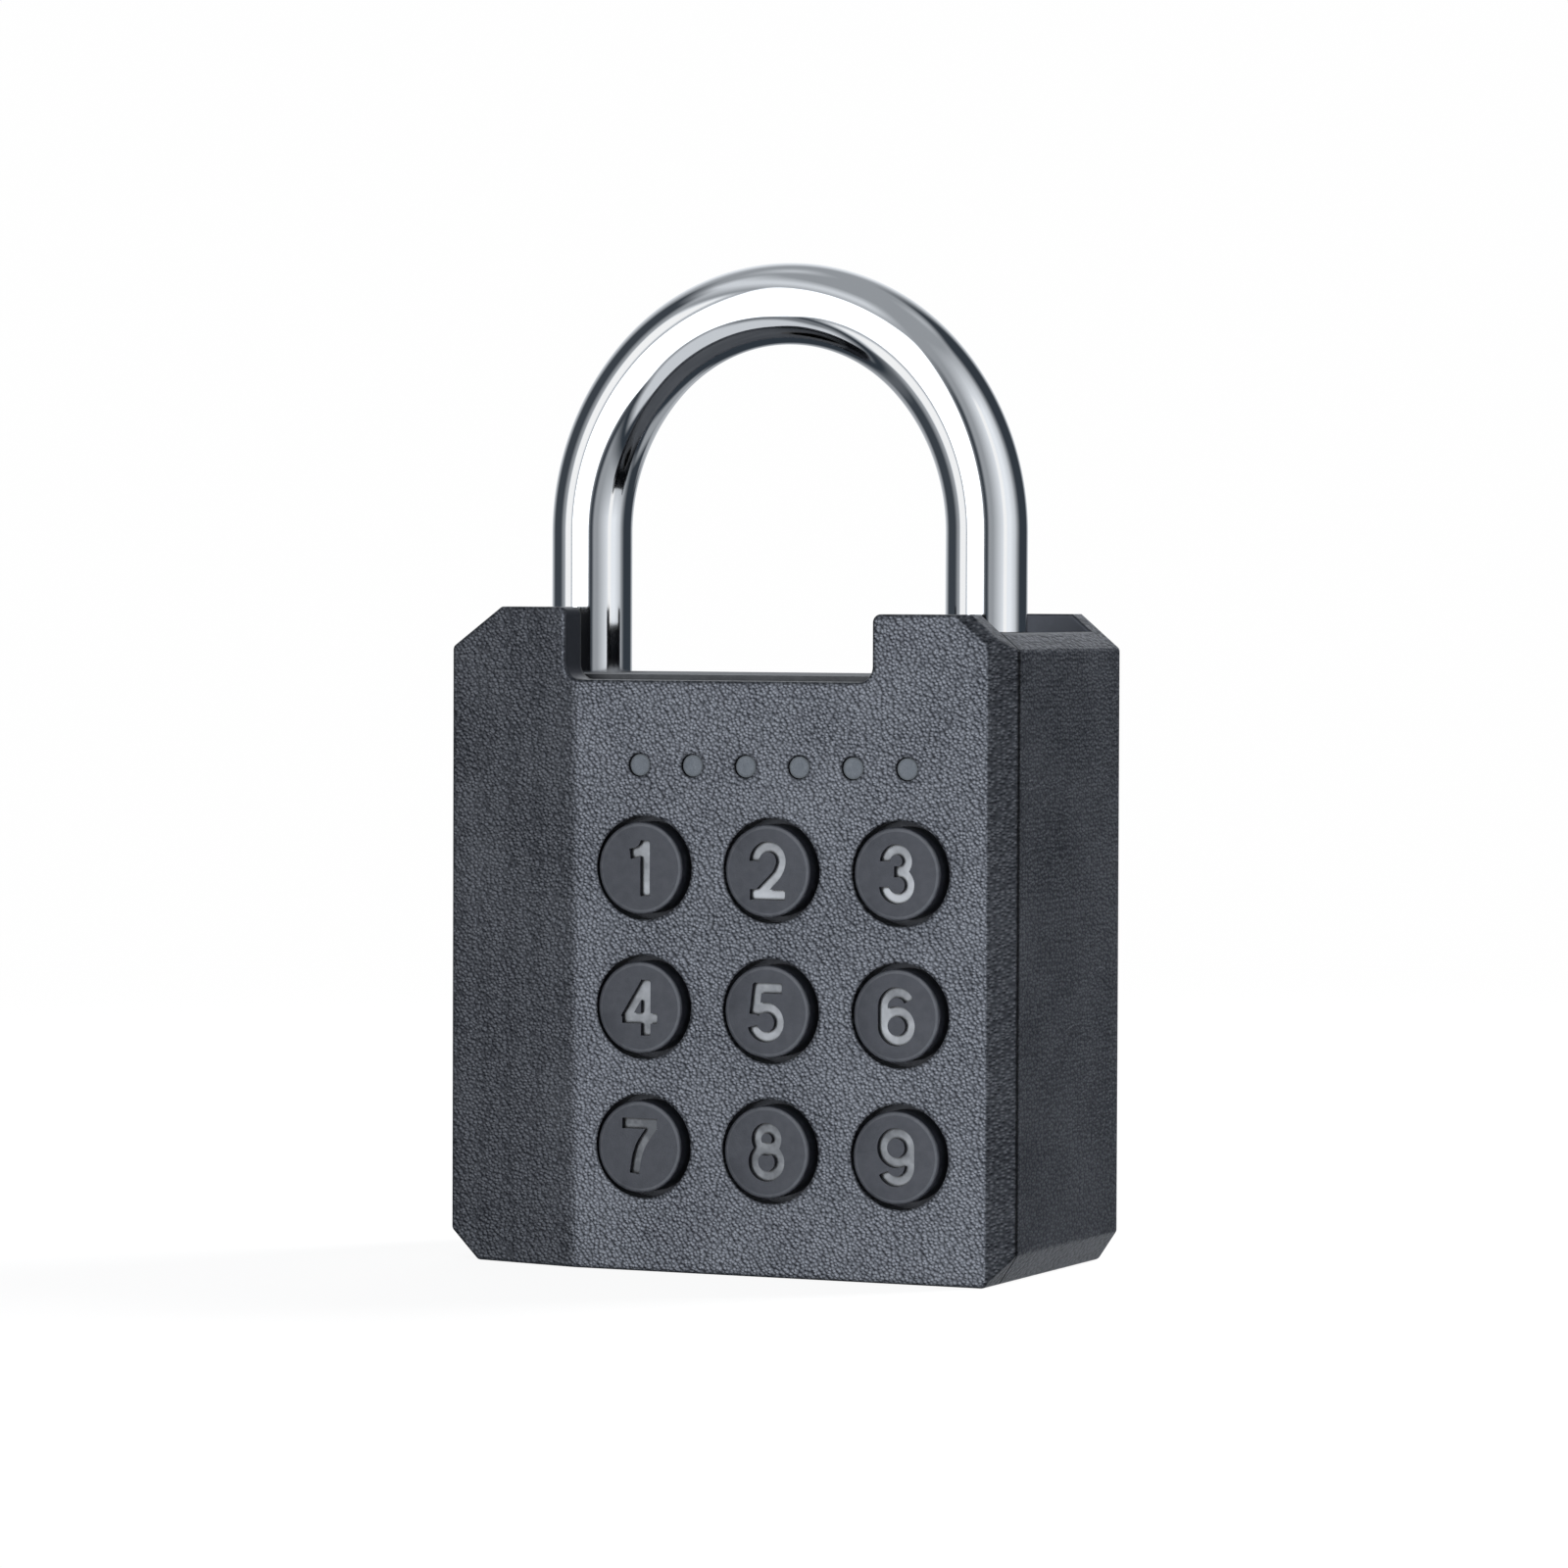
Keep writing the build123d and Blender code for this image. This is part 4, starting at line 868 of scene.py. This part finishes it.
@dataclass
class Shackle:
    """The chrome bow, bent from one round bar."""

    paints: Paintbox
    radius: float = 4.0 * MM
    leg: float = 21.3 * MM
    depth: float = 1.75 * MM
    spring_line: float = 71.7 * MM
    rise: float = 22.5 * MM
    crown_radius: float = 20.5 * MM
    toe_end: float = 42.8 * MM
    heel_end: float = 23.8 * MM
    end_chamfer: float = 0.8 * MM
    around: int = 72
    side_steps: int = 30
    crown_steps: int = 84
    notch_low: tuple[float, float, float] = (-20.6 * MM, -6 * MM, 45.3 * MM)
    notch_high: tuple[float, float, float] = (-16.0 * MM, 10 * MM, 50.7 * MM)
    flat_low: tuple[float, float, float] = (16.0 * MM, -6 * MM, 27.3 * MM)
    flat_high: tuple[float, float, float] = (18.6 * MM, 10 * MM, 45.7 * MM)
    groove_radius: float = 2.7 * MM
    groove_height: float = 3.2 * MM

    def build(self) -> bpy.types.Object:
        """Bends the bar, cuts its notch and its pin flat, and puts it on its body.

        Returns:
            The bow.
        """
        shape = bmesh.new()
        side_drop = self.rise - self.crown_radius
        spread = 2 * (self.leg - self.crown_radius)
        side_radius = (self.leg**2 + side_drop**2 - self.crown_radius**2) / spread
        blend = math.atan2(side_drop, side_radius - self.leg)
        small = (self.radius - self.end_chamfer) / self.radius
        ring = bmesh.ops.create_circle(
            shape, segments=self.around, radius=self.radius - self.end_chamfer, cap_ends=True,
            matrix=Matrix.Translation((self.leg, self.depth, self.heel_end)),
        )["verts"]
        edges = list({edge for vert in ring for edge in vert.link_edges if len(edge.link_faces) == 1})
        edges = self.grow(shape, edges, self.end_chamfer, self.leg, 1 / small)
        edges = self.grow(shape, edges, self.spring_line - self.heel_end - self.end_chamfer, self.leg)
        turns = (
            (self.leg - side_radius, self.spring_line, blend, self.side_steps),
            (0.0, self.spring_line + side_drop, math.pi - 2 * blend, self.crown_steps),
            (side_radius - self.leg, self.spring_line, blend, self.side_steps),
        )
        for x, z, angle, steps in turns:
            spun = bmesh.ops.spin(
                shape, geom=edges, cent=(x, self.depth, z), axis=(0.0, -1.0, 0.0), angle=angle, steps=steps
            )
            edges = [item for item in spun["geom_last"] if isinstance(item, bmesh.types.BMEdge)]
        edges = self.grow(shape, edges, self.toe_end + self.end_chamfer - self.spring_line, -self.leg)
        edges = self.grow(shape, edges, -self.end_chamfer, -self.leg, small)
        bmesh.ops.contextual_create(shape, geom=edges)
        piece = finished_piece("shackle_bow", shape, (self.paints.get(CHROME),))
        cut_from(piece, self.block(self.notch_low, self.notch_high))
        cut_from(piece, self.block(self.flat_low, self.flat_high))
        cut_from(piece, self.ring_cutter())
        piece.data.set_sharp_from_angle(angle=math.radians(SHARP_ANGLE))
        piece.visible_glossy = False
        log.info("bow of %d faces", len(piece.data.polygons))
        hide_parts("shackle")
        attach(piece, "shackle")
        return piece

    def grow(
        self, shape: bmesh.types.BMesh, edges: list[bmesh.types.BMEdge], rise: float, x: float,
        factor: float = 1.0,
    ) -> list[bmesh.types.BMEdge]:
        """Draws a ring of edges along a leg.

        Args:
            shape: The bar so far.
            edges: Its open ring.
            rise: How far the new ring lies above the last.
            x: The middle of the leg.
            factor: How much wider the new ring is than the last.

        Returns:
            The edges of the new ring.
        """
        grown = bmesh.ops.extrude_edge_only(shape, edges=edges)["geom"]
        verts = [item for item in grown if isinstance(item, bmesh.types.BMVert)]
        bmesh.ops.translate(shape, verts=verts, vec=(0.0, 0.0, rise))
        centre = Matrix.Translation((-x, -self.depth, 0.0))
        bmesh.ops.scale(shape, verts=verts, vec=(factor, factor, 1.0), space=centre)
        return [item for item in grown if isinstance(item, bmesh.types.BMEdge)]

    def block(self, low: Sequence[float], high: Sequence[float]) -> bpy.types.Object:
        """Makes a square cutter.

        Args:
            low: Its lowest corner.
            high: Its highest corner.

        Returns:
            The cutter.
        """
        low, high = Vector(low), Vector(high)
        shape = bmesh.new()
        place = Matrix.Translation((low + high) / 2) @ Matrix.Diagonal((*(high - low), 1.0))
        bmesh.ops.create_cube(shape, size=1.0, matrix=place)
        return finished_piece("cutter", shape)

    def ring_cutter(self) -> bpy.types.Object:
        """Makes the cutter of the ring groove in which the open shackle turns.

        Returns:
            The cutter.
        """
        shape = bmesh.new()
        middle = self.leg + self.groove_radius + self.radius / 2
        floor = self.flat_low[2] + self.groove_height / 2
        size = Matrix.Diagonal((self.radius, self.groove_height, 1.0, 1.0))
        stand = Matrix.Translation((middle, self.depth, floor)) @ Matrix.Rotation(math.pi / 2, 4, "X")
        square = bmesh.ops.create_grid(shape, x_segments=1, y_segments=1, size=0.5, matrix=stand @ size)
        outline = [edge for edge in shape.edges if edge.is_boundary]
        bmesh.ops.delete(shape, geom=list(shape.faces), context="FACES_ONLY")
        bmesh.ops.spin(
            shape, geom=square["verts"] + outline, cent=(self.leg, self.depth, 0.0), axis=(0.0, 0.0, 1.0),
            angle=FULL_TURN, steps=self.around, use_merge=True,
        )
        return finished_piece("cutter", shape)


@dataclass(frozen=True)
class Patch:
    """A patch of directions in the studio, in degrees.

    Azimuth runs from the padlock's front to its right, and height from the horizon up. The patch fades
    over soft across and over fade up and down.
    """

    azimuth: float
    half_width: float
    height: float
    half_height: float
    soft: float
    fade: float

    def inside(self, nodes: Nodes, turn: Socket, rise: Socket) -> Socket:
        """Tells directions inside the patch from those outside it.

        Args:
            nodes: The world's nodes.
            turn: The azimuth of a direction.
            rise: Its height.

        Returns:
            1 inside the patch and 0 outside it, with its soft edges.
        """
        around = nodes.maths("WRAP", nodes.maths("SUBTRACT", turn, self.azimuth), 180.0, -180.0)
        across = nodes.maths("ABSOLUTE", around)
        upward = nodes.maths("ABSOLUTE", nodes.maths("SUBTRACT", rise, self.height))
        inside = 1.0
        edges = ((across, self.half_width, self.soft), (upward, self.half_height, self.fade))
        for away, half, soft in edges:
            slope = {0: away, 1: -1 / soft, 2: half / soft + 0.5}
            share = nodes.add("Math", {"operation": "MULTIPLY_ADD", "use_clamp": True}, slope)
            inside = nodes.maths("MULTIPLY", share.outputs[0], inside)
        return inside


# Soft boxes and dark flags with their light, each laid over those before it
PANELS = (
    (Patch(0, 200, -62, 36, 10, 10), 0.008),
    (Patch(-20, 73, -63, 26, 8, 8), 0.155),
    (Patch(-35, 17, -38, 4, 8, 6), 0.045),
    (Patch(-40, 48, 53, 8, 20, 12), 0.17),
    (Patch(84, 26, 16, 32, 36, 22), 0.22),
    (Patch(-93, 22, 10, 36, 12, 9), 0.012),
    (Patch(148, 28, 15, 42, 20, 10), 0.009),
    (Patch(-122, 16, 66, 7, 24, 12), 0.14),
    (Patch(130, 14, 66, 6, 24, 10), 0.115),
    (Patch(-154, 22, 15, 22, 26, 20), 0.2),
    (Patch(170, 9, -19, 8, 8, 7), 0.1),
    (Patch(-176, 8, -14, 16, 8, 10), 0.12),
    (Patch(156, 26, -33, 8, 8, 7), 0.085),
    (Patch(22, 5, 0, 34, 6, 16), 0.012),
    (Patch(-48, 10, 3, 30, 6, 7), 0.25),
    (Patch(-10, 22, 3, 35, 6, 7), 0.97),
)

# Where mirrors see the white backdrop past the panels
BARE_PATCHES = (
    Patch(-48, 9, 3, 28, 3, 4),
    Patch(76, 5, 12, 28, 3, 4),
)


@dataclass(frozen=True)
class Lamp:
    """A square lamp that points at the padlock."""

    name: str
    place: tuple[float, float, float]
    size: float
    power: float


LAMPS = (
    Lamp("front_lamp", (-0.1, -0.5, 1.0), 0.7, 2.0),
    Lamp("side_lamp", (0.21, 0.26, 0.3), 0.2, 4.8),
    Lamp("back_lamp", (-0.2, 0.9, 0.7), 0.7, 3.0),
)


@dataclass
class Studio:
    """The camera, the soft room round the padlock and the pale floor."""

    focal_pixels: float = 6501.51
    frame_pixels: int = 1600
    sensor: float = 36.0
    yaw: float = 24.3319
    pitch: float = 1.768
    roll: float = 0.2171
    aim_right: float = 0.3433 * MM
    aim_back: float = 0.45 * MM
    aim_height: float = 46.9826 * MM
    distance: float = 626.9607 * MM
    near_clip: float = 10 * MM
    room_level: float = 0.08
    room_strength: float = 4.0
    channel_gains: Colour = (1.0, 1.03, 1.07)
    channel_lifts: Colour = (0.0, 0.002, 0.0045)
    white: tuple[float, float, float, float] = (0.995, 0.995, 0.995, 1.0)
    floor_colour: tuple[float, float, float, float] = (0.9, 0.9, 0.9, 1.0)
    floor_half: float = 3.0
    floor_drop: float = 0.02 * MM
    shadow_reach: float = 50 * MM
    shadow_end: float = 500 * MM
    floor_share: float = 0.9
    lamp_aim: float = 45 * MM

    def build(self) -> None:
        """Builds the whole studio."""
        self.camera()
        self.room()
        self.floor()
        self.lamps()
        bpy.context.scene.view_settings.view_transform = "Standard"

    def camera(self) -> None:
        """Places the camera at the viewing angle."""
        yaw, pitch, roll = (math.radians(a) for a in (self.yaw, self.pitch, self.roll))
        level_way = math.cos(pitch)
        ahead = Vector((-math.sin(yaw) * level_way, math.cos(yaw) * level_way, -math.sin(pitch)))
        right = Vector((math.cos(yaw), math.sin(yaw), 0.0))
        up = right.cross(ahead)
        level = right * math.cos(roll) + up * math.sin(roll)
        upright = up * math.cos(roll) - right * math.sin(roll)
        aim = right * self.aim_right + Vector((0.0, self.aim_back, self.aim_height))
        place = aim - ahead * self.distance
        data = bpy.data.cameras.new("camera")
        data.sensor_width = self.sensor
        data.lens = self.focal_pixels / self.frame_pixels * self.sensor
        data.clip_start = self.near_clip
        camera = bpy.data.objects.new("camera", data)
        turned = Matrix((level, upright, -ahead)).transposed().to_4x4()
        camera.matrix_world = Matrix.Translation(place) @ turned
        bpy.context.scene.collection.objects.link(camera)
        bpy.context.scene.camera = camera

    def room(self) -> None:
        """Makes the room: soft boxes and dark flags, as a pattern of directions in the world."""
        world = bpy.data.worlds.new("room")
        bpy.context.scene.world = world
        world.use_nodes = True
        nodes = Nodes(world.node_tree)
        x, y, z = nodes.add("SeparateXYZ", inputs={0: nodes.add("TexCoord").outputs["Generated"]}).outputs
        turn = nodes.maths("DEGREES", nodes.maths("ARCTAN2", x, nodes.maths("MULTIPLY", y, -1.0)))
        rise = nodes.maths("DEGREES", nodes.maths("ARCSINE", z))
        level = self.room_level
        for patch, light in PANELS:
            inside = patch.inside(nodes, turn, rise)
            kept = nodes.maths("MULTIPLY", level, nodes.maths("SUBTRACT", 1.0, inside))
            level = nodes.maths("MULTIPLY_ADD", inside, light, kept)
        bare = 0.0
        for patch in BARE_PATCHES:
            bare = nodes.maths("MAXIMUM", patch.inside(nodes, turn, rise), bare)
        colour = nodes.add("CombineColor")
        for channel, gain, lift in zip(colour.inputs, self.channel_gains, self.channel_lifts):
            nodes.link(nodes.maths("MULTIPLY_ADD", level, gain, lift), channel)
        light = {"Color": colour.outputs["Color"], "Strength": self.room_strength}
        studio = nodes.add("Background", inputs=light)
        backdrop = nodes.add("Background", inputs={"Color": self.white})
        rays = nodes.add("LightPath").outputs
        mirrored = nodes.maths("MULTIPLY", rays["Is Glossy Ray"], bare)
        seen = nodes.maths("ADD", rays["Is Camera Ray"], rays["Is Transmission Ray"])
        share = nodes.maths("ADD", seen, mirrored)
        mix = nodes.add("MixShader", inputs={0: share, 1: studio.outputs[0], 2: backdrop.outputs[0]})
        nodes.add("OutputWorld", inputs={"Surface": mix.outputs[0]})

    def floor(self) -> None:
        """Lays the pale floor, which keeps a faint shadow."""
        shape = bmesh.new()
        bmesh.ops.create_grid(shape, x_segments=1, y_segments=1, size=self.floor_half)
        bmesh.ops.translate(shape, verts=shape.verts, vec=(0.0, 0.0, -self.floor_drop))
        data = bpy.data.meshes.new("floor")
        shape.to_mesh(data)
        shape.free()
        floor = bpy.data.objects.new("floor", data)
        bpy.context.scene.collection.objects.link(floor)
        floor.visible_glossy = False
        material = bpy.data.materials.new("floor")
        material.use_nodes = True
        nodes = Nodes(material.node_tree)
        matt = nodes.add("BsdfDiffuse", inputs={"Color": self.floor_colour})
        light = nodes.add("Emission", inputs={"Color": self.white})
        place = nodes.add("TexCoord").outputs["Object"]
        away = nodes.add("VectorMath", {"operation": "LENGTH"}, {0: place}).outputs["Value"]
        limits = {
            "Value": away, "From Min": self.shadow_reach, "From Max": self.shadow_end,
            "To Min": self.floor_share, "To Max": 1.0,
        }
        fade = nodes.add("MapRange", {"interpolation_type": "SMOOTHSTEP"}, limits).outputs["Result"]
        share = nodes.maths("MULTIPLY", nodes.add("LightPath").outputs["Is Camera Ray"], fade)
        mix = nodes.add("MixShader", inputs={0: share, 1: matt.outputs[0], 2: light.outputs[0]})
        nodes.add("OutputMaterial", inputs={"Surface": mix.outputs[0]})
        data.materials.append(material)

    def lamps(self) -> None:
        """Hangs large soft lamps in front, at the side and behind."""
        for lamp in LAMPS:
            data = bpy.data.lights.new(lamp.name, "AREA")
            data.shape = "SQUARE"
            data.size = lamp.size
            data.energy = lamp.power
            piece = bpy.data.objects.new(lamp.name, data)
            piece.location = lamp.place
            way = Vector((0.0, 0.0, self.lamp_aim)) - Vector(lamp.place)
            piece.rotation_euler = way.to_track_quat("-Z", "Y").to_euler()
            piece.visible_glossy = False
            bpy.context.scene.collection.objects.link(piece)


def main() -> None:
    """Builds the padlock's looks in order and reports each piece."""
    logging.basicConfig(level=logging.INFO, format="%(name)s: %(message)s")
    paints = Paintbox()
    paints.dress_nodes()
    for piece in Keypad(paints).build():
        log.info("built %s", piece.name)
    log.info("built %s", Shackle(paints).build().name)
    Studio().build()


if __name__ == "__main__":
    main()
